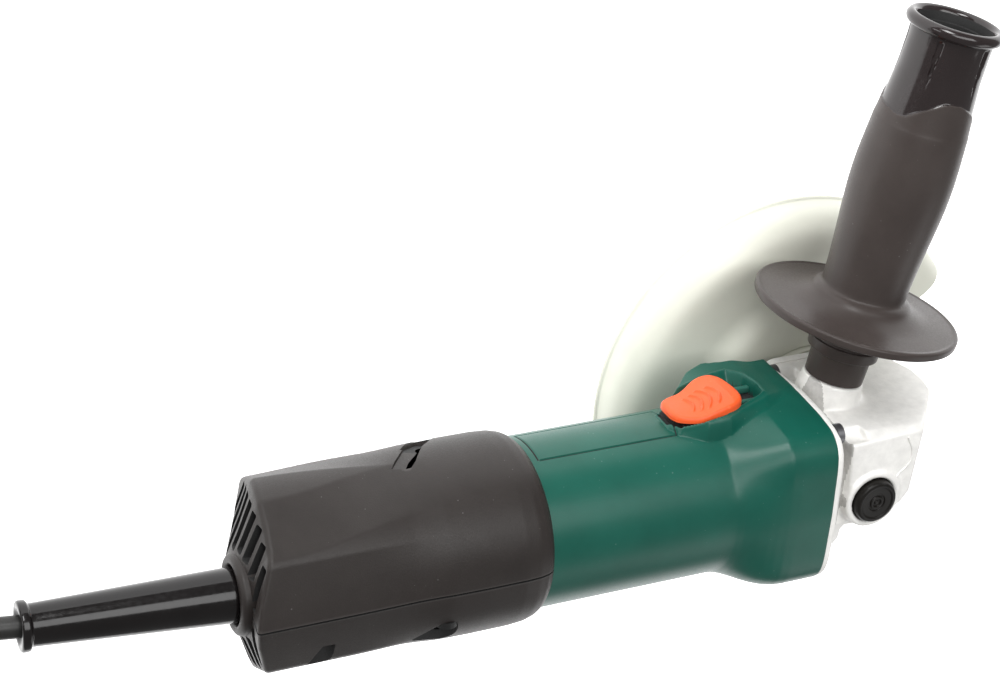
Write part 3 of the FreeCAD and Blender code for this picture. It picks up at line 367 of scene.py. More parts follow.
def lathe(name, profile, start, direction, material, body, replaces=(), segments=96, towards=Z_DIR,
          shape=None, sharp=SHARP_DEG, closed=False):
    """Turn a profile of (along, radius) about an axis; shape(along, angle, radius) may vary the radius."""
    direction = np.asarray(direction, float)
    first, second = across(direction, towards)
    angles = np.linspace(0, 2 * np.pi, segments, endpoint=False)
    rings = []
    for along, radius in profile:
        reach = np.full(segments, radius) if shape is None else shape(along, angles, radius)
        ring = (np.asarray(start) + direction * along + np.outer(reach * np.cos(angles), first)
                + np.outer(reach * np.sin(angles), second))
        rings.append(ring)
    points = np.concatenate(rings)
    faces = grid_faces(len(rings), segments, 0, closed, True)
    return add_piece(name, points, faces, material, body, replaces, sharp)


def bake_modifiers(piece):
    """Replace a piece's mesh by what its modifiers make of it."""
    depsgraph = bpy.context.evaluated_depsgraph_get()
    mesh = bpy.data.meshes.new_from_object(piece.evaluated_get(depsgraph))
    piece.modifiers.clear()
    piece.data = mesh


def cut_with(piece, cutters, operation="DIFFERENCE"):
    """Boolean a piece with throwaway solids, then drop them."""
    for solid in cutters:
        change = piece.modifiers.new("cut", "BOOLEAN")
        change.operation = operation
        change.solver = "EXACT"
        change.material_mode = "TRANSFER"
        change.object = solid
    bake_modifiers(piece)
    for solid in cutters:
        bpy.data.objects.remove(solid)


def block(name, centre, size, material="dark_inside", bevel=0.0):
    """A box in mm with its edges rounded, in the near-black painted-shade material unless another is given.
    """
    work = bmesh.new()
    bmesh.ops.create_cube(work, size=1.0)
    bmesh.ops.scale(work, vec=size, verts=work.verts)
    if bevel > 0.0:
        bmesh.ops.bevel(work, geom=work.edges[:], offset=bevel, segments=3, profile=0.5, affect="EDGES")
    work.verts.index_update()
    points = np.array([vertex.co[:] for vertex in work.verts])
    faces = [[vertex.index for vertex in face.verts] for face in work.faces]
    work.free()
    return add_piece(name, points + np.asarray(centre), faces, material)


def face_places(mesh):
    """Each face's centre, in mm about the crossing axes."""
    places = np.zeros(len(mesh.polygons) * 3)
    mesh.polygons.foreach_get("center", places)
    return places.reshape(-1, 3) * 1000.0 - (0.0, 0.0, AXIS_ABOVE_SEAT)


def paint_faces(piece, chosen, material="dark_inside"):
    """Give the other material to the faces whose centres are chosen; unless told otherwise, the near-black
    painted shade.
    """
    mesh = piece.data
    if MATERIALS[material].name not in mesh.materials:
        mesh.materials.append(MATERIALS[material])
    number = mesh.materials.find(MATERIALS[material].name)
    indices = np.zeros(len(mesh.polygons), np.int32)
    mesh.polygons.foreach_get("material_index", indices)
    indices[chosen(face_places(mesh))] = number
    mesh.polygons.foreach_set("material_index", indices)


def hull(points):
    """The corners and faces of the convex hull around points in mm."""
    work = bmesh.new()
    for point in points:
        work.verts.new(point)
    bmesh.ops.convex_hull(work, input=work.verts)
    loose = [vertex for vertex in work.verts if not vertex.link_faces]
    bmesh.ops.delete(work, geom=loose, context="VERTS")
    work.verts.index_update()
    found = np.array([vertex.co[:] for vertex in work.verts])
    faces = [[vertex.index for vertex in face.verts] for face in work.faces]
    work.free()
    return found, faces


def cutter(points, material="dark_inside"):
    """A throwaway solid: the convex hull of points in mm. The walls it cuts take its material, unless told
    otherwise the near-black painted shade.
    """
    return add_piece("cut", *hull(points), material)


def disc_points(centre, direction, radius, count=48):
    first, second = across(np.asarray(direction, float), X_DIR if abs(direction[0]) < 0.8 else Z_DIR)
    angles = np.linspace(0, 2 * np.pi, count, endpoint=False)
    return (np.asarray(centre) + np.outer(np.cos(angles) * radius, first)
            + np.outer(np.sin(angles) * radius, second))


def rod(start, end, radius, end_radius=None):
    """Points whose hull is a cylinder or cone."""
    start, end = np.asarray(start, float), np.asarray(end, float)
    direction = (end - start) / np.linalg.norm(end - start)
    return np.concatenate([disc_points(start, direction, radius),
                           disc_points(end, direction, radius if end_radius is None else end_radius)])


def smoothstep(value, low, high):
    t = np.clip((value - low) / (high - low), 0.0, 1.0)
    return t * t * (3 - 2 * t)


def soft_max(first, second, width):
    """The larger of two heights, rounded over width where they cross."""
    gap = np.clip(width - np.abs(first - second), 0.0, None) / width
    return np.maximum(first, second) + gap * gap * width * 0.25


def around(x, angles, radii):
    """Points at one x per row and one angle per column, angle 0 towards +Y and 90 towards +Z."""
    return np.stack([np.broadcast_to(x, radii.shape), radii * np.cos(angles), radii * np.sin(angles)], -1)


# ------ the cord, its coil and its plug

# The same points as the CAD route, in metres in the row frame
CORD_ROUTE = [
    (-0.300, 0.0, 0.05206), (-0.326, 0.0, 0.05001), (-0.348, 0.001, 0.032), (-0.366, 0.0015, 0.010),
    (-0.386, 0.0005, -0.004), (-0.404, -0.002, -0.0082), (-0.422, -0.0029, -0.0083)]
# Each turn's place in the bundle: columns out from the middle, layers up from the floor
COIL_ORDER = [(2, 0), (1, 0), (0, 0), (0, 1), (0, 2), (1, 2), (1, 1), (2, 1), (2, 2)]


def coil_turn(column, layer):
    """A turn's radius and height. A spline runs inside its points, so the points stand out by that much."""
    inside = math.cos(math.pi / COIL_POINTS)
    return (34.1 + CORD_D * column) / inside, -56.3 + CORD_D * layer


def coil_points():
    """Nine turns, each easing into the next over its last third, then a quarter turn out to the plug."""
    points = []
    for turn, place in enumerate(COIL_ORDER):
        radius, height = coil_turn(*place)
        next_radius, next_height = coil_turn(*COIL_ORDER[min(turn + 1, len(COIL_ORDER) - 1)])
        for step in range(COIL_POINTS):
            share = float(smoothstep(step / COIL_POINTS, 0.62, 1.0))
            angle = math.radians(-90.0 - 360.0 * step / COIL_POINTS)
            reach = radius + share * (next_radius - radius)
            points.append((COIL_X + reach * math.cos(angle), COIL_Y + reach * math.sin(angle),
                           height + share * (next_height - height)))
    radius, height = coil_turn(*COIL_ORDER[-1])
    for step in range(4):
        angle = math.radians(-90.0 - 360.0 * step / COIL_POINTS)
        drop = 5.4 * step / 4
        points.append((COIL_X + radius * math.cos(angle), COIL_Y + radius * math.sin(angle), height - drop))
    points += [(-471.6, 50.0, -47.0), (-471.5, 62.0, -47.0), (-471.5, 78.0, -47.0)]
    return points[1:]


def make_cord():
    curve = bpy.data.curves.new("cord_line", "CURVE")
    curve.dimensions = "3D"
    curve.bevel_depth = CORD_D * 0.0005
    curve.bevel_resolution = 6
    curve.resolution_u = 6
    curve.use_fill_caps = True
    spline = curve.splines.new("NURBS")
    points = CORD_ROUTE + [tuple(point) for point in to_row(coil_points())]
    spline.points.add(len(points) - 1)
    for point, place in zip(spline.points, points):
        point.co = (*place, 1.0)
    spline.order_u = 3
    spline.use_endpoint_u = True
    curve.materials.append(MATERIALS["cord_rubber"])
    cord = new_object("cord_line", curve)
    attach(cord, "root")
    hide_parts("cord", "cord_coil")
    return cord


def make_plug():
    """The plug's body: an oval moulding that tapers into a ribbed relief."""
    def oval(along, angles, radius):
        body = smoothstep(along, 17.0, 26.0)
        wide, tall = np.abs(np.cos(angles) / PLUG_HALF_W), np.abs(np.sin(angles) / PLUG_HALF_H)
        reach = (wide ** 3 + tall ** 3) ** (-1 / 3)
        share = radius / PLUG_HALF_W
        return (1 - body) * radius + body * reach * share
    profile = [(0.0, 0.5), (0.0, 4.4)]
    for index in range(5):
        base = 1.0 + 3.2 * index
        swell = 4.5 + 0.5 * index
        profile += [
            (base, swell), (base + 1.6, swell + 0.25), (base + 1.9, swell - 0.5),
            (base + 2.9, swell - 0.4)]
    profile += [
        (17.0, 7.4), (19.0, 9.5), (22.0, 14.2), (26.0, 16.6), (31.0, 17.3), (44.0, 17.3), (49.0, 17.0),
        (51.2, 16.4), (52.0, 15.0), (52.0, 0.5)]
    return lathe("plug_body", profile, (-471.5, 70.0, -47.0), Y_DIR, "cord_rubber", "root",
                 ("plug",), 72, X_DIR, oval)


cord = make_cord()
plug = make_plug()
sleeve_drop = math.radians(SLEEVE_DROP_DEG)
SLEEVE_DIR = np.array([-math.cos(sleeve_drop), 0.0, -math.sin(sleeve_drop)])
SLEEVE_START = np.array([REAR_END_X, 0.0, CORD_AXIS_Z])
sleeve_length = (REAR_END_X - SLEEVE_END_X) / math.cos(sleeve_drop)

# ------ green motor housing

FLARE = [
    (-160, 0.0), (-70, 0.0), (-68, 0.004), (-66, 0.03), (-63, 0.15), (-60, 0.34), (-57, 0.54),
    (-53.5, 0.73), (-50, 0.87), (-46.5, 0.965), (-43, 1.0), (-31, 1.0)]


def flange_reach(angles):
    """The octagonal flange's distance from the axis at each angle, its corners rounded."""
    half = [
        (19.0, -30.4), (25.0, -29.6), (29.6, -25.0), (31.4, -15.0), (32.5, 0.0), (31.4, 15.0),
        (29.6, 25.0), (25.0, 29.6), (19.0, 30.8), (0.0, 31.5)]
    outline = np.array(half + [(-y, z) for y, z in reversed(half[:-1])] + [(0.0, -31.0)])
    fine = np.radians(np.arange(0.0, 360.0, 1.0))
    reach = np.zeros_like(fine)
    for index in range(len(outline)):
        p, q = outline[index], outline[(index + 1) % len(outline)]
        normal = np.array([q[1] - p[1], p[0] - q[0]])
        distance = normal @ p
        heading = np.cos(fine) * normal[0] + np.sin(fine) * normal[1]
        with np.errstate(divide="ignore"):
            hit = np.where(heading > 1e-6, distance / heading, np.inf)
        spot = np.stack([hit * np.cos(fine), hit * np.sin(fine)], -1)
        share = ((spot - p) @ (q - p)) / ((q - p) @ (q - p))
        inside = np.isfinite(hit) & (share > -1e-6) & (share < 1 + 1e-6)
        reach = np.where(inside, np.maximum(reach, np.where(inside, hit, 0.0)), reach)
    kernel = np.exp(-0.5 * (np.arange(-12, 13) / 3.2) ** 2)
    padded = np.concatenate([reach[-12:], reach, reach[:12]])
    smooth = np.convolve(padded, kernel / kernel.sum(), "valid")
    return np.interp(np.mod(np.degrees(angles), 360.0), np.append(np.degrees(fine), 360.0),
                     np.append(smooth, smooth[0]))


def polygon_depth(points, corners):
    """Signed distance inside a convex outline, per point, positive inside."""
    depth = np.full(points.shape[:-1], np.inf)
    for index in range(len(corners)):
        p, q = np.array(corners[index]), np.array(corners[(index + 1) % len(corners)])
        side = (q - p) / np.linalg.norm(q - p)
        normal = np.array([-side[1], side[0]])
        depth = np.minimum(depth, (points - p) @ normal)
    return depth


# (x, z) outlines on the left flank, anticlockwise with x across and z up
BEZEL = [
    (-82.4, -5.0), (-77.0, -11.5), (-64.0, -18.5), (-57.0, -23.5), (-26.0, -24.5), (-26.0, -2.5),
    (-45.0, 7.2), (-62.0, 12.8), (-71.5, 12.4), (-79.5, 8.4), (-82.4, 4.0)]
RECESS = [
    (-81.8, -5.5), (-76.5, -10.5), (-54.0, -15.6), (-48.6, -16.4), (-44.2, -12.6), (-42.6, -6.5),
    (-43.4, -0.8), (-46.4, 1.2), (-54.9, 5.0), (-63.5, 8.9), (-72.0, 10.0), (-78.8, 7.6), (-81.8, 2.5)]
RECESS_FLOOR_Y = 29.0
LABEL_X = (-132.6, -80.4)
LABEL_Z = (-10.6, 7.4)


def recess_depth(x, angles):
    """How far inside the switch's recess a place is, its outline drawn on the level of the bezel."""
    across_z = 33.2 * np.tan(np.clip(angles, -1.1, 1.1))
    return polygon_depth(np.stack(np.broadcast_arrays(x, across_z), -1), RECESS)


def groove_distance(x, z):
    """How far a point is from the label panel's outline."""
    groove_x = np.minimum(np.abs(x - LABEL_X[0]), np.abs(x - LABEL_X[1]))
    groove_z = np.minimum(np.abs(z - LABEL_Z[0]), np.abs(z - LABEL_Z[1]))
    within_x = (x > LABEL_X[0]) & (x < LABEL_X[1])
    within_z = (z > LABEL_Z[0]) & (z < LABEL_Z[1])
    return np.minimum(np.where(within_z, groove_x, 9.0), np.where(within_x, groove_z, 9.0))


def body_reach(x, angles):
    """The green housing's outside at each x and angle."""
    share = np.interp(x, [place for place, _ in FLARE], [value for _, value in FLARE])
    facet = np.interp(x, [-160.0, -66.0, -56.0, -47.0, -29.0], [0.0, 0.0, 0.52, 1.0, 1.0])
    kernel = np.exp(-0.5 * (np.arange(-6, 7) / 1.6) ** 2)
    share, facet = [np.convolve(np.pad(values[:, 0], 6, "edge"), kernel / kernel.sum(), "valid")[:, None]
                    for values in (share, facet)]
    corner = smoothstep(np.degrees(angles), 12.0, 24.0) * (1.0 - smoothstep(np.degrees(angles), 56.0, 70.0))
    share = share + corner * (facet - share)
    flange = flange_reach(angles)
    reach = BODY_R + share * (flange - BODY_R)
    y, z = reach * np.cos(angles), reach * np.sin(angles)
    left = np.cos(angles) > 0.35
    wide_x = np.broadcast_to(x, reach.shape)
    bezel_in = polygon_depth(np.stack([wide_x, z], -1), BEZEL)
    plateau = 33.0 + 1.3 * smoothstep(x, -80.0, -56.0) - 1.6 * smoothstep(x, -44.0, -34.0)
    facing = np.maximum(np.cos(angles), 0.35)
    lifted = plateau / facing
    lift = (0.75 * np.clip(bezel_in / 3.2, 0.0, 1.0) + 0.25 * smoothstep(bezel_in, 0.0, 3.2)) * left
    reach = reach + lift * np.maximum(soft_max(reach, lifted, 0.5) - reach, 0.0)
    recess_in = recess_depth(wide_x, angles)
    floor = RECESS_FLOOR_Y / facing
    lip = np.exp(-((recess_in + 0.75) / 0.4) ** 2) * smoothstep(bezel_in, 0.6, 2.0)
    reach = reach + 0.3 * lip * left
    sink = smoothstep(recess_in, -0.3, 0.5) * left
    reach = reach + sink * np.minimum(floor - reach, 0.0)
    near = groove_distance(x, z)
    reach = reach - 0.5 * (1.0 - smoothstep(near, 0.12, 0.42)) * left * (y > 0)
    return reach


def make_motor_housing():
    x = np.concatenate([np.arange(SPIGOT_X, -134.0, 1.0), np.arange(-134.0, -92.0, 0.34),
                        np.arange(-92.0, -38.0, 0.3), np.arange(-38.0, SKIN_FRONT_X - 0.9, 0.45)])
    left = np.radians(np.arange(-44.0, 44.0, 0.62))
    rest = np.radians(np.arange(44.0, 316.0, 1.5))
    angles = np.concatenate([left, rest])
    reach = body_reach(x[:, None], angles[None, :])
    reach = np.where(x[:, None] < -139.0, 27.0, reach)
    ends = []
    for inset, forward in ((0.02, 0.85), (0.12, 0.55), (0.4, 0.25), (0.9, 0.0)):
        ends.append(around(SKIN_FRONT_X - forward, angles[None, :], reach[-1:] - inset))
    outer = np.concatenate([around(x[:, None], angles[None, :], reach)] + ends)
    inner = around(outer[..., 0], angles[None, :], np.full(outer.shape[:2], BODY_BORE_R))
    points, faces = shell(outer, inner, True)
    housing = add_piece("motor_housing_skin", points, faces, "green_plastic", "root",
                        ("motor_housing",), 30.0)
    # painted shade on the recess floor and in the label groove
    paint_faces(housing, housing_shadows)


def housing_shadows(places):
    """Painted shade: the floor of the switch's recess and the label panel's thin outline groove, painted
    dark.
    """
    x, y, z = places.T
    floor = (recess_depth(x, np.arctan2(z, y)) > 0.35) & (y > 28.0) & (y < 30.4)
    return floor | ((groove_distance(x, z) < 0.22) & (y > 26.6))


make_motor_housing()

# ------ dark rear shells

EDGE_DEG = [-180, -150, -120, -90, -60, -30, 0, 10, 20, 30, 45, 60, 75, 90, 105, 120, 135, 150, 180]
EDGE_X = [-229.4, -226, -223.5, -223, -223.5, -226, -229.4, -230.3, -230.8, -231.3, -232.6, -235.2,
          -237.8, -239.3, -237.8, -235.2, -232.6, -231.3, -229.4]
# x, z and the ramp's (x, z) tip of the openings over the shell screws
SCREW_OPENINGS = [(-172.0, 27.0, (-182.5, 26.0)), (-213.5, 27.6, (-219.0, 25.4)), (-172.0, -27.0, None)]
FACETS = [-149.0, -108.0, -72.0, -31.0, 31.0, 72.0, 108.0, 149.0]


def rear_reach(x, angles):
    """The rear housing's outside: round and bulging in front, faceted towards its rear edge."""
    round_r = np.interp(x, [-232, -200, -184, -172, -160, -146, -141, -138.0, -136.4, -135.2],
                        [31.5, 31.7, 31.9, 32.7, 32.9, 32.85, 32.5, 31.7, 30.8, 29.5])
    faceted = np.full(np.broadcast_shapes(x.shape, angles.shape), np.inf)
    for facet in FACETS:
        slope = 14.0 * smoothstep(x, -229.0, -168.0) * (1 if abs(facet) == 31.0 else 0)
        lean = np.radians(facet - slope * np.sign(facet))
        turn = np.cos(angles - lean)
        flat = np.where(turn > 0.5, (REAR_EDGE_R - 0.35) / np.maximum(turn, 0.5), np.inf)
        faceted = np.minimum(faceted, flat)
    faceted = np.minimum(faceted, REAR_EDGE_R * 1.045)
    share = 1.0 - smoothstep(x, -205.0, -165.0)
    return round_r + share * 0.85 * (faceted - round_r)


def rear_rows(angles, wall):
    """From the front rim, round the rear edge and up the cone to the collar, wall inside the skin."""
    edge = np.interp(np.degrees(angles), EDGE_DEG, EDGE_X) + wall
    rows = []
    front = np.concatenate([np.linspace(REAR_FRONT_X, -138.5, 9), np.linspace(-139.2, -221.0, 110)])
    for x in front:
        rows.append(around(np.full(angles.shape, x), angles, rear_reach(np.array(x), angles) - wall))
    rim = rear_reach(np.full(angles.shape, -228.0), angles) - wall
    last_x = -221.0
    for share in np.linspace(0.1, 1.0, 14):
        x = last_x + share * (edge + 1.7 - last_x)
        rows.append(around(x, angles, rear_reach(x, angles) - wall))
    start = rows[-1]
    ring = np.stack([np.full(angles.shape, REAR_FACE_X + wall), COLLAR_R * np.cos(angles),
                     CORD_AXIS_Z + COLLAR_R * np.sin(angles)], axis=-1)
    corner = around(edge, angles, rim)
    towards_ring = (ring - corner) / np.linalg.norm(ring - corner, axis=-1, keepdims=True)
    after = corner + towards_ring * 1.7
    for t in np.linspace(0.12, 1.0, 8):
        rows.append(start * (1 - t) ** 2 + corner * 2 * t * (1 - t) + after * t * t)
    for t in np.linspace(0.05, 1.0, 22):
        rows.append(after + t * (ring - after))
    return np.stack(rows)


def on_shell(x, degrees, radius):
    """A point at one x, angle and radius about the motor axis."""
    turn = math.radians(degrees)
    return (x, radius * math.cos(turn), radius * math.sin(turn))


def scoop_cutters(front, rear, back, turn_back=3.0):
    """A scoop: a ramp falls forward to a steep wall, with an open slot at its foot.

    front and rear are the (x, degrees) ends of the steep wall; the ramp starts back mm behind it.
    """
    wedge, slot = [], []
    for x, degrees in (front, rear):
        behind, turned = x - back, degrees - turn_back
        wedge += [on_shell(x, degrees, 36.0), on_shell(x, degrees, 29.8), on_shell(behind, turned, 36.0),
                  on_shell(behind, turned, 31.6)]
        slot += [on_shell(x - step, degrees, radius) for step in (0.0, 2.4) for radius in (36.0, 26.0)]
    # the slot's walls take the dark painted shade
    return [cutter(wedge, "grey_plastic"), cutter(slot)]


def make_rear_shell(side):
    """One half of the rear housing, with vents in its slanting rear face and scoops in its flank."""
    gap = math.degrees(0.32 / 31.0)
    first, last = (-90.0 + gap, 90.0 - gap) if side > 0 else (90.0 + gap, 270.0 - gap)
    degrees = np.linspace(first, last, 150)
    wrapped = np.radians((degrees + 180.0) % 360.0 - 180.0)
    points, faces = shell(rear_rows(wrapped, 0.0), rear_rows(wrapped, REAR_WALL), False)
    name = "rear_shell_left" if side > 0 else "rear_shell_right"
    piece = add_piece(name + "_skin", points, faces, "grey_plastic", "root", (name,), 34.0)
    cutters = []
    for row in range(8):
        z = VENT_TOP_Z - VENT_PITCH * row
        reach = math.sqrt(REAR_EDGE_R ** 2 - z ** 2) - 2.5
        clear = (COLLAR_R + 1.2) ** 2 - (z - CORD_AXIS_Z) ** 2
        near = math.sqrt(clear) if clear > 9.0 else 3.0
        edge_x = float(np.interp(math.degrees(math.asin(z / REAR_EDGE_R)), EDGE_DEG, EDGE_X))
        centre = (edge_x + 5.0 - VENT_DEPTH / 2, side * (near + reach) / 2, z)
        # the vents' walls take the dark painted shade
        cutters.append(block("cut", centre, (VENT_DEPTH, reach - near, VENT_WIDTH), bevel=0.7))
    if side > 0:
        cutters += scoop_cutters((-156.0, -40.0), (-167.5, -15.0), 8.0, 1.0)
        cutters += scoop_cutters((-167.4, -15.2), (-176.8, 6.6), 6.5, 2.0)
    else:
        for x, z, tip in SCREW_OPENINGS:
            radius = 4.1 if x > -200.0 else 2.4
            points = rod((x, -40.0, z), (x, -12.2, z), radius)
            if tip is not None:
                points = np.concatenate([points, rod((tip[0], -40.0, tip[1]), (tip[0], -19.0, tip[1]), 0.6)])
            # the openings' walls take the dark painted shade
            cutters.append(cutter(points))
    cut_with(piece, cutters)
    mark_sharp(piece.data, 34.0)
    paint_faces(piece, shell_shade_places)


def shell_shade_places(places):
    """Which places of the rear shell get painted shade: inside its wall, in the gap between the halves and in
    the air slot.
    """
    x, y, z = places.T
    degrees = np.degrees(np.arctan2(z, y))
    slot_front = np.interp(degrees, [-40.0, -15.0, 6.6], [-156.0, -167.5, -176.8])
    sunk = rear_reach(x, np.arctan2(z, y)) - np.hypot(y, z)
    # painted shade on the sunk floor of the air slot
    in_slot = (np.abs(degrees + 17.0) < 25.0) & (sunk > 0.4) & (x > slot_front - 2.8) & (x < slot_front + 0.3)
    return (np.abs(y) < 0.6) | ((x > -221.0) & (sunk > REAR_WALL - 0.2)) | in_slot


for side in (1, -1):
    make_rear_shell(side)

# the collar that the sleeve leaves through
lathe("sleeve_collar", rounded_profile([
    (-9.0, 9.7, 0), (-9.0, COLLAR_R + 0.3, 0.4), (-2.6, COLLAR_R + 0.2, 1.0), (-1.4, COLLAR_R - 1.3, 0.8),
    (-1.6, 10.2, 0.8), (-3.0, 9.7, 0.5), (-9.0, 9.7, 0)]),
      SLEEVE_START, SLEEVE_DIR, "grey_plastic", "root")

# ------ cord sleeve

lathe("cord_sleeve_skin", rounded_profile([
    (-8.0, 3.6, 0), (-8.0, 9.0, 0.5), (0.0, 9.0, 4.0), (sleeve_length - 4.2, 6.85, 1.5),
    (sleeve_length - 3.3, 7.0, 0.8), (sleeve_length - 2.9, 8.2, 1.0), (sleeve_length, 8.25, 1.0),
    (sleeve_length + 0.1, 6.0, 0.7), (sleeve_length - 1.2, 4.2, 0.4), (sleeve_length - 6.0, 3.75, 0)], 6),
      SLEEVE_START, SLEEVE_DIR, "black_rubber", "root", ("cord_sleeve",), 96, closed=True)

# ------ switch knob

KNOB_UNDERSIDE_Y = 32.0
KNOB_EASE = 1.5                 # how far its top edge is rounded
KNOB_OUTLINE = [
    (-81.0, 0.0), (-80.6, -5.0), (-77.6, -7.0), (-73.0, -8.0), (-69.0, -9.6), (-65.0, -11.4),
    (-60.0, -11.8), (-56.4, -9.8), (-54.4, -5.0), (-53.8, 0.0), (-54.6, 4.4), (-57.0, 7.2), (-61.5, 9.0),
    (-67.0, 9.3), (-72.5, 8.9), (-78.4, 6.6), (-80.6, 4.0)]
KNOB_ARCS = [(-74.0, 3.9), (-70.8, 4.8), (-67.6, 5.5), (-64.2, 5.2)]


def closed_curve(corners, count):
    """A smooth closed curve through corners, by cubic easing between neighbours."""
    corners = np.array(corners, float)
    spots = np.linspace(0, len(corners), count, endpoint=False)
    out = []
    for spot in spots:
        i, t = int(spot), spot - int(spot)
        p = [corners[(i + k) % len(corners)] for k in (-1, 0, 1, 2)]
        out.append(0.5 * (2 * p[1] + (p[2] - p[0]) * t + (2 * p[0] - 5 * p[1] + 4 * p[2] - p[3]) * t * t
                          + (3 * p[1] - p[0] - 3 * p[2] + p[3]) * t ** 3))
    return np.array(out)


def knob_top(x, z):
    """The thumb pad's height: low behind, dished, and highest in front, with four raised arcs."""
    height = np.interp(x, [-82, -79, -76, -73, -70, -67, -63, -59, -56, -54],
                       [34.4, 34.6, 34.7, 34.9, 35.6, 36.7, 37.7, 38.1, 37.9, 37.2])
    height = height - 0.012 * z * z * smoothstep(z, -14.0, 9.0)
    for centre, half in KNOB_ARCS:
        bow = centre + 2.0 - 0.085 * (z - 0.8) ** 2
        ridge = np.exp(-((x - bow) / 0.34) ** 2) * (1.0 - smoothstep(np.abs(z - 0.8), half - 0.5, half + 0.3))
        height = height + 0.85 * ridge
    return height


def make_knob():
    rim = closed_curve(KNOB_OUTLINE, 200)
    centre = np.array([-67.0, 0.0])
    points = [np.stack([rim[:, 0], np.full(len(rim), KNOB_UNDERSIDE_Y), rim[:, 1]], -1)]
    rings = [(1.0, KNOB_EASE)]
    for turn in np.radians(np.arange(15, 91, 15)):
        rings.append((1.0 - 0.09 * (1 - math.cos(turn)), KNOB_EASE * (1 - math.sin(turn))))
    rings += [(share, 0.0) for share in np.linspace(0.885, 0.0, 80)[:-1]]
    for share, drop in rings:
        spot = centre + (rim - centre) * share
        points.append(np.stack([spot[:, 0], knob_top(spot[:, 0], spot[:, 1]) - drop, spot[:, 1]], -1))
    count = len(rim)
    poles = np.array([[centre[0], knob_top(*centre), 0.0], [centre[0], KNOB_UNDERSIDE_Y, 0.0]])
    points = np.concatenate(points + [poles])
    faces = grid_faces(len(rings) + 1, count, 0, False, True)
    base = len(rings) * count
    for index in range(count):
        after = (index + 1) % count
        faces.append((base + index, base + after, len(points) - 2))
        faces.append((after, index, len(points) - 1))
    add_piece("switch_knob_cap", points, faces, "orange_plastic", "switch",
              ("switch_knob",), 50.0)


make_knob()

for index, z in enumerate((-9.5, -1.0)):
    rail = block("recess_rail_%d" % (index + 1), (-49.5, 30.4, z), (12.5, 2.6, 1.9), "green_plastic", 0.6)
    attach(rail, "root")

# ------ cast gear head


tilt = math.radians(HANDLE_TILT_DEG)
HANDLE_DIR = np.array([math.sin(tilt), math.cos(tilt), 0.0])
HANDLE_BASE = np.array([HANDLE_X, 0.0, HANDLE_Z])


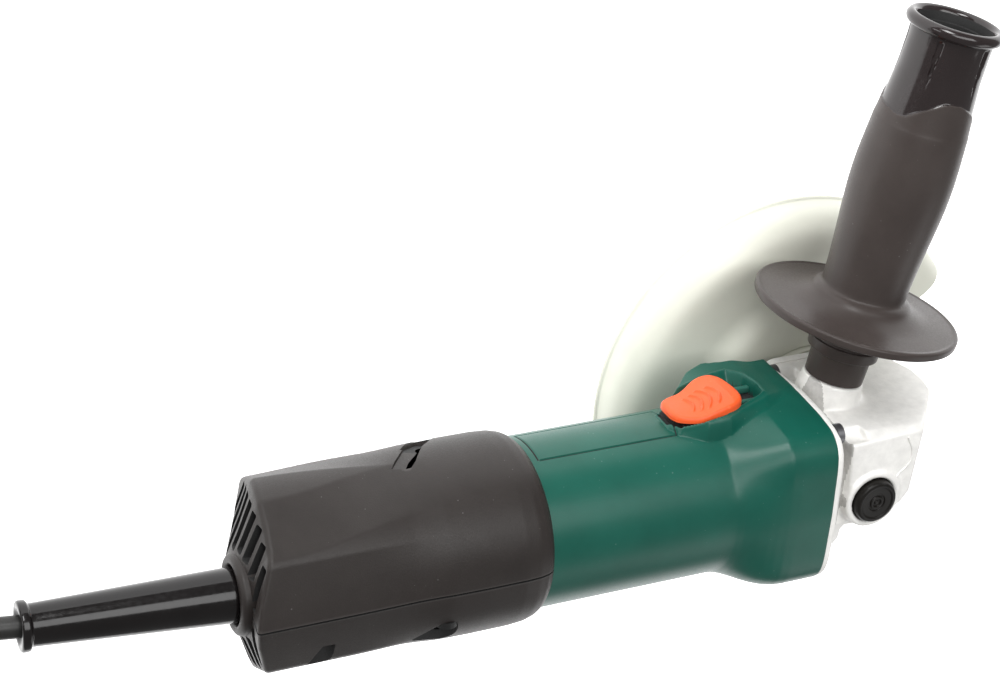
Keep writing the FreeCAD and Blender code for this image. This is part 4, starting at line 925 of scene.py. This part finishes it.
def make_gear_head():
    """The casting: simple solids joined, then remeshed fine and smoothed so that every edge is cast round."""
    flange_angles = np.radians(np.arange(0.0, 360.0, 3.0))
    flange = flange_reach(flange_angles) - 0.1
    plate = np.concatenate([around(np.full(flange.shape, x), flange_angles, flange - less)
                            for x, less in ((-31.0, 0.6), (SKIN_FRONT_X, 0.0), (-27.4, 0.1), (-26.6, 1.0))])
    crown = [
        (-21.0, 23.0, GEAR_TOP_Z), (7.8, 24.0, GEAR_TOP_Z - 0.4), (6.8, 17.0, GEAR_TOP_Z),
        (5.2, 7.7, GEAR_TOP_Z), (5.4, 0.0, GEAR_TOP_Z), (2.5, -4.0, GEAR_TOP_Z), (-9.8, -9.5, GEAR_TOP_Z),
        (-19.0, -3.0, GEAR_TOP_Z), (-17.0, 12.6, GEAR_TOP_Z)]
    flank = [
        (-18.0, 25.4, 21.0), (-17.0, 25.4, 9.0), (9.5, 25.5, 23.0), (18.7, 25.4, 10.0), (24.2, 25.4, 4.5),
        (26.2, 25.3, -3.0), (26.6, 25.2, -11.0), (22.8, 25.3, -21.0), (-20.0, 25.4, -6.0),
        (14.0, 25.3, GEAR_BOTTOM_Z), (-24.0, 25.3, GEAR_BOTTOM_Z)]
    nose = [
        (28.0, 18.0, -1.0), (28.2, 6.0, -2.0), (27.0, 14.0, GEAR_BOTTOM_Z), (22.0, 22.0, GEAR_BOTTOM_Z),
        (28.0, -10.0, -2.0), (27.0, -14.0, GEAR_BOTTOM_Z), (22.0, -22.0, GEAR_BOTTOM_Z)]
    far = [
        (-22.0, -20.5, 10.0), (8.0, -17.5, 11.0), (17.0, -21.0, 2.0), (24.0, -18.0, -1.0),
        (-23.0, -25.3, -3.0), (18.0, -24.0, -8.0), (14.0, -25.3, GEAR_BOTTOM_Z),
        (-24.0, -25.3, GEAR_BOTTOM_Z)]
    neck = []
    for y, z in ((24.0, 10.0), (24.0, -25.0), (20.0, 17.5), (11.0, 22.5)):
        for sign in (1, -1):
            neck += [(-28.0, sign * y, z), (-16.0, sign * y * 0.97, z)]
    solids = [plate, np.array(crown + flank + nose + far), np.array(neck),
              rod((LOCK_X, 0, 5.0), (LOCK_X, 0, GEAR_TOP_Z + 1.3), 12.0, 10.9)]
    for sign in (1, -1):
        direction = HANDLE_DIR * (1, sign, 1)
        for start, end, wide, slim in ((18.0, 30.5, 12.6, 11.4), (28.0, HANDLE_SEAT - 0.1, 11.6, 10.9)):
            solids.append(rod(HANDLE_BASE + direction * start, HANDLE_BASE + direction * end, wide, slim))
    head, *others = [cutter(points, "cast_aluminium") for points in solids]
    cut_with(head, others, "UNION")
    # the walls of the bore, the cavity and the screw holes take the dark painted shade
    cutters = [cutter(rod((LOCK_X, 0, LOCK_BORE_Z), (LOCK_X, 0, 40.0), LOCK_R + 0.3)),
               cutter(rod((0, 0, GEAR_BOTTOM_Z - 5), (0, 0, -3.0), 21.0))]
    for y in (FLANGE_SCREW_Y, -FLANGE_SCREW_Y):
        for z in (FLANGE_SCREW_Z, -FLANGE_SCREW_Z):
            cutters.append(cutter(rod((-27.2, y, z), (-14.0, y, z), 4.3)))
    cut_with(head, cutters)
    remesh = head.modifiers.new("remesh", "REMESH")
    remesh.mode = "VOXEL"
    remesh.voxel_size = 0.00055
    smooth = head.modifiers.new("smooth", "SMOOTH")
    smooth.factor = 0.5
    smooth.iterations = 7
    bake_modifiers(head)
    head.name = "gear_head_casting"
    mark_sharp(head.data, 60.0)
    head.data.materials.clear()
    head.data.materials.append(MATERIALS["cast_aluminium"])
    # the trough behind the head: rough cast, painted darker for the shade in the valley by the flange
    paint_faces(head, lambda places: (places[:, 0] > -26.2) & (places[:, 0] < -20.6) & (places[:, 2] > -4.0),
                "rough_cast_shaded")
    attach(head, "root")
    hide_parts("gear_housing")


make_gear_head()


def make_arrow():
    """The turning arrow cast into the top of the head: a bent bar with a short barb."""
    for index, path in enumerate((((1.4, 22.5), (4.0, 17.5), (4.2, 12.6), (2.4, 10.4)),
                                  ((2.4, 10.4), (0.2, 8.6), (-2.4, 4.6)))):
        line = bpy.data.curves.new("cast_arrow", "CURVE")
        line.dimensions = "3D"
        line.bevel_depth = 0.0004
        line.bevel_resolution = 3
        line.use_fill_caps = True
        spline = line.splines.new("POLY")
        spline.points.add(len(path) - 1)
        for point, (x, y) in zip(spline.points, path):
            point.co = (*to_row((x, y, GEAR_TOP_Z + 0.05))[0], 1.0)
        bar = new_object("cast_arrow_%d" % (index + 1), line)
        depsgraph = bpy.context.evaluated_depsgraph_get()
        mesh = bpy.data.meshes.new_from_object(bar.evaluated_get(depsgraph))
        mesh.materials.clear()
        mesh.materials.append(MATERIALS["cast_aluminium"])
        piece = new_object(bar.name + "_bar", mesh)
        bpy.data.objects.remove(bar)
        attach(piece, "root")


make_arrow()

# ------ spindle lock button

lathe("lock_button_cap", rounded_profile([
    (-6.0, 0.05, 0), (-6.0, LOCK_R - 0.1, 0.2), (-1.6, LOCK_R - 0.1, 0.3), (-0.2, LOCK_R - 0.5, 1.2),
    (0.0, LOCK_R - 1.9, 0.5), (-0.35, LOCK_R - 2.3, 0.3), (-0.3, 3.3, 0.2), (-0.65, 3.1, 0.1),
    (-0.65, 2.6, 0.1), (-0.2, 2.4, 0.1), (-0.2, 1.7, 0.1), (-0.7, 1.5, 0.1), (-0.7, 0.9, 0.1),
    (-0.35, 0.7, 0.1), (-0.35, 0.05, 0)], 4), (LOCK_X, 0.0, LOCK_TOP_Z), Z_DIR, "black_plastic", "lock",
      ("spindle_lock_button",), 72, X_DIR)

# ------ guard


def make_guard():
    """The pressed half dish: a stepped plate, a rolled shoulder and a skirt with a rolled rim."""
    outer = rounded_profile([
        (-38.5, 24.7, 0), (-38.5, 38.5, 3.0), (-42.5, 45.5, 3.5), (-42.7, 64.5, 4.0), (-44.0, 69.0, 4.0),
        (-47.5, 72.6, 4.0), (-51.5, 74.1, 3.0), (-58.0, 74.1, 0.6), (-58.6, 74.9, 0.5),
        (-60.0, 74.9, 0.5), (-60.0, 72.4, 0)], 6)
    inner = rounded_profile([
        (-40.3, 24.7, 0), (-40.3, 37.6, 3.0), (-44.3, 44.6, 3.5), (-44.5, 64.0, 4.0), (-45.6, 67.8, 4.0),
        (-48.4, 70.9, 4.0), (-51.7, 72.3, 3.0), (-57.0, 72.35, 0.6), (-58.0, 72.35, 0.5),
        (-59.0, 72.35, 0.5), (-60.0, 72.4, 0)], 6)
    angles = np.radians(np.linspace(GUARD_FROM_DEG, GUARD_FROM_DEG + GUARD_SPAN_DEG, 181))

    def turned(profile):
        rows = [np.stack([radius * np.cos(angles), radius * np.sin(angles), np.full(angles.shape, z)], -1)
                for z, radius in profile]
        return np.stack(rows)
    points, faces = shell(turned(outer), turned(inner), False)
    guard = add_piece("guard_dish", points, faces, "zinc_steel", "guard", ("guard",), 35.0)
    edge = guard.modifiers.new("edge", "BEVEL")
    edge.width = 0.0004
    edge.segments = 2
    edge.limit_method = "ANGLE"
    edge.angle_limit = math.radians(50)
    bake_modifiers(guard)


make_guard()

# ------ side handle

HANDLE_FRONT = np.array([-0.527, 0.112, 0.842])     # the handle's upper rear side
SCALLOP_DEG = [-90, -60, -40, -30, -9, 14, 36, 70, 90]
SCALLOP_S = [101.5, 100.6, 99.8, 100.2, 104.4, 108.2, 108.4, 104.6, 101.5]
GRIP = [
    (31.0, 15.6), (33.5, 14.9), (39.0, 14.9), (53.0, 16.0), (67.0, 17.3), (75.0, 17.6), (81.0, 17.5),
    (93.0, 16.7), (103.0, 15.7), (115.0, 14.75), (125.0, 14.7), (128.5, 14.9)]


def handle_shape(along, angles, radius):
    """Varies the grip: a proud matte sleeve that ends in scallops, and slim grooves above it."""
    if along < 34.0 or along > 128.5:
        return np.full(angles.shape, float(radius))
    turned = (np.degrees(angles) + 90.0) % 180.0 - 90.0
    edge = np.interp(turned, SCALLOP_DEG, SCALLOP_S)
    reach = radius - 0.45 * smoothstep(along, edge - 0.25, edge + 0.25)
    for index in range(5):
        away = np.degrees(angles) - (-18.0 + 72.0 * index)
        away = np.abs((away + 180.0) % 360.0 - 180.0) * np.pi / 180.0 * radius
        width = 0.35 + 1.1 * smoothstep(along, 111.0, 126.0)
        span = smoothstep(along, 110.0, 117.0) * (1.0 - smoothstep(along, 126.8, 128.2))
        reach = reach - 0.75 * span * (1.0 - smoothstep(away, width * 0.5, width))
    return reach


def about_handle(places):
    """Each place's distance along the handle, distance from its axis and angle, which repeats at 180."""
    first, second = across(HANDLE_DIR, HANDLE_FRONT)
    away = places - HANDLE_BASE - HANDLE_DIR * HANDLE_SEAT
    along = away @ HANDLE_DIR
    turned = np.degrees(np.arctan2(away @ second, away @ first))
    return along, np.hypot(away @ first, away @ second), (turned + 90.0) % 180.0 - 90.0


def above_scallops(places):
    along, _, turned = about_handle(places)
    return along > np.interp(turned, SCALLOP_DEG, SCALLOP_S) - 0.05


def in_bore(places):
    along, radius, _ = about_handle(places)
    return (along > 80.0) & (along < 131.5) & (radius < 13.3)


def make_side_handle():
    skirt = rounded_profile([
        (0.0, 4.3, 0), (0.0, 10.4, 0.5), (9.8, 10.7, 0.5), (10.0, 12.6, 0.5), (14.0, 12.9, 0.4),
        (14.2, 12.1, 0.2), (15.6, 12.1, 0.2), (15.8, 13.6, 0.3), (20.6, 14.0, 1.5), (23.4, 24.0, 2.0),
        (24.2, 34.6, 0.6), (23.9, 35.6, 0.4), (24.3, 36.4, 0.4), (26.6, 36.5, 0.5), (27.2, 35.6, 0.4),
        (26.9, 34.4, 0.6), (28.0, 24.0, 3.0), (30.4, 18.6, 2.4), (32.6, 17.0, 1.2), (33.6, 15.1, 0.8),
        (35.0, 14.8, 0.6)], 6)
    grip_s = np.concatenate([np.arange(35.6, 96.0, 1.5), np.arange(96.0, 128.6, 0.28)])
    grip_r = np.interp(grip_s, [s for s, _ in GRIP], [r for _, r in GRIP])
    kernel = np.exp(-0.5 * (np.arange(-8, 9) / 3.5) ** 2)
    grip_r = np.convolve(np.pad(grip_r, 8, "edge"), kernel / kernel.sum(), "valid")
    end = rounded_profile([
        (128.6, 14.6, 0), (129.2, 16.2, 1.0), (130.4, 16.88, 1.0), (131.8, 16.88, 1.2),
        (133.1, 15.8, 1.2), (133.25, 14.6, 0.8), (132.2, 13.3, 1.0), (129.0, 12.6, 1.0),
        (92.0, 11.4, 1.0), (88.0, 9.0, 2.0), (87.6, 0.4, 0)], 6)
    profile = [tuple(p) for p in skirt[:-1]] + list(zip(grip_s, grip_r)) + [tuple(p) for p in end]
    seat = HANDLE_BASE + HANDLE_DIR * HANDLE_SEAT
    handle = lathe("side_handle_grip", profile, seat, HANDLE_DIR, "handle_plastic", "root", ("side_handle",),
                   240, HANDLE_FRONT, handle_shape, 40.0)
    paint_faces(handle, above_scallops, "handle_gloss")
    # painted shade inside the open bore at the grip's end
    paint_faces(handle, in_bore)


make_side_handle()

# ------ CAD nodes that stay

for entry in frame["record"]["subparts"]:
    node = frame["nodes"][entry["node"]]
    for material_slot in node.material_slots:
        material_slot.material = MATERIALS[entry["material_slot"]]
# painted shade: the rear shell's screws sit deep in their bores and are darkened to blackened steel
frame["nodes"]["rear_shell_screws"].material_slots[0].material = MATERIALS["blackened_steel"]

# ------ floor and light


def make_floor():
    mesh = bpy.data.meshes.new("floor")
    half = 3.0
    height = (FLOOR_Z + AXIS_ABOVE_SEAT) * 0.001
    corners = [(x, y, height) for x, y in ((-half, -half), (half, -half), (half, half), (-half, half))]
    mesh.from_pydata(corners, [], [(0, 1, 2, 3)])
    material, nodes, links, shader = new_material("floor")
    place = nodes.new("ShaderNodeTexCoord").outputs["Object"]
    tone = ramp(nodes, links, noise(nodes, links, place, 2.0), 0.0, 1.0, 0.93, 0.98)
    colour = nodes.new("ShaderNodeCombineColor")
    for channel in range(3):
        links.new(tone, colour.inputs[channel])
    links.new(colour.outputs[0], shader.inputs["Base Color"])
    links.new(colour.outputs[0], shader.inputs["Emission Color"])
    set_inputs(shader, {"Emission Strength": 1.05, "Roughness": 0.9, "Specular IOR Level": 0.1})
    mesh.materials.append(material)
    new_object("floor", mesh)


def add_light(name, place, target, size, power):
    data = bpy.data.lights.new(name, "AREA")
    data.shape = "RECTANGLE"
    data.size, data.size_y = size
    data.energy = power
    light = new_object(name, data)
    light.location = place
    light.rotation_mode = "QUATERNION"
    light.rotation_quaternion = (Vector(target) - Vector(place)).to_track_quat("-Z", "Y")


make_floor()
MIDDLE = (-0.12, 0.02, 0.03)
add_light("overhead", (-0.1, 0.8, 1.3), MIDDLE, (1.3, 0.8), 15.0)
add_light("left", (-0.52, 1.6, 0.66), MIDDLE, (0.5, 0.6), 14.0)
add_light("rear", (-1.7, 0.75, 0.5), MIDDLE, (0.5, 0.6), 4.0)
add_light("right", (0.9, -1.0, 0.9), MIDDLE, (0.8, 0.8), 3.0)
world = bpy.data.worlds.new("studio")
world.use_nodes = True
set_inputs(world.node_tree.nodes["Background"], {"Color": (1.0, 1.0, 1.0, 1.0), "Strength": 0.32})
bpy.context.scene.world = world
bpy.context.scene.view_settings.view_transform = "Standard"

# ------ last update of the view layer

bpy.context.view_layer.update()
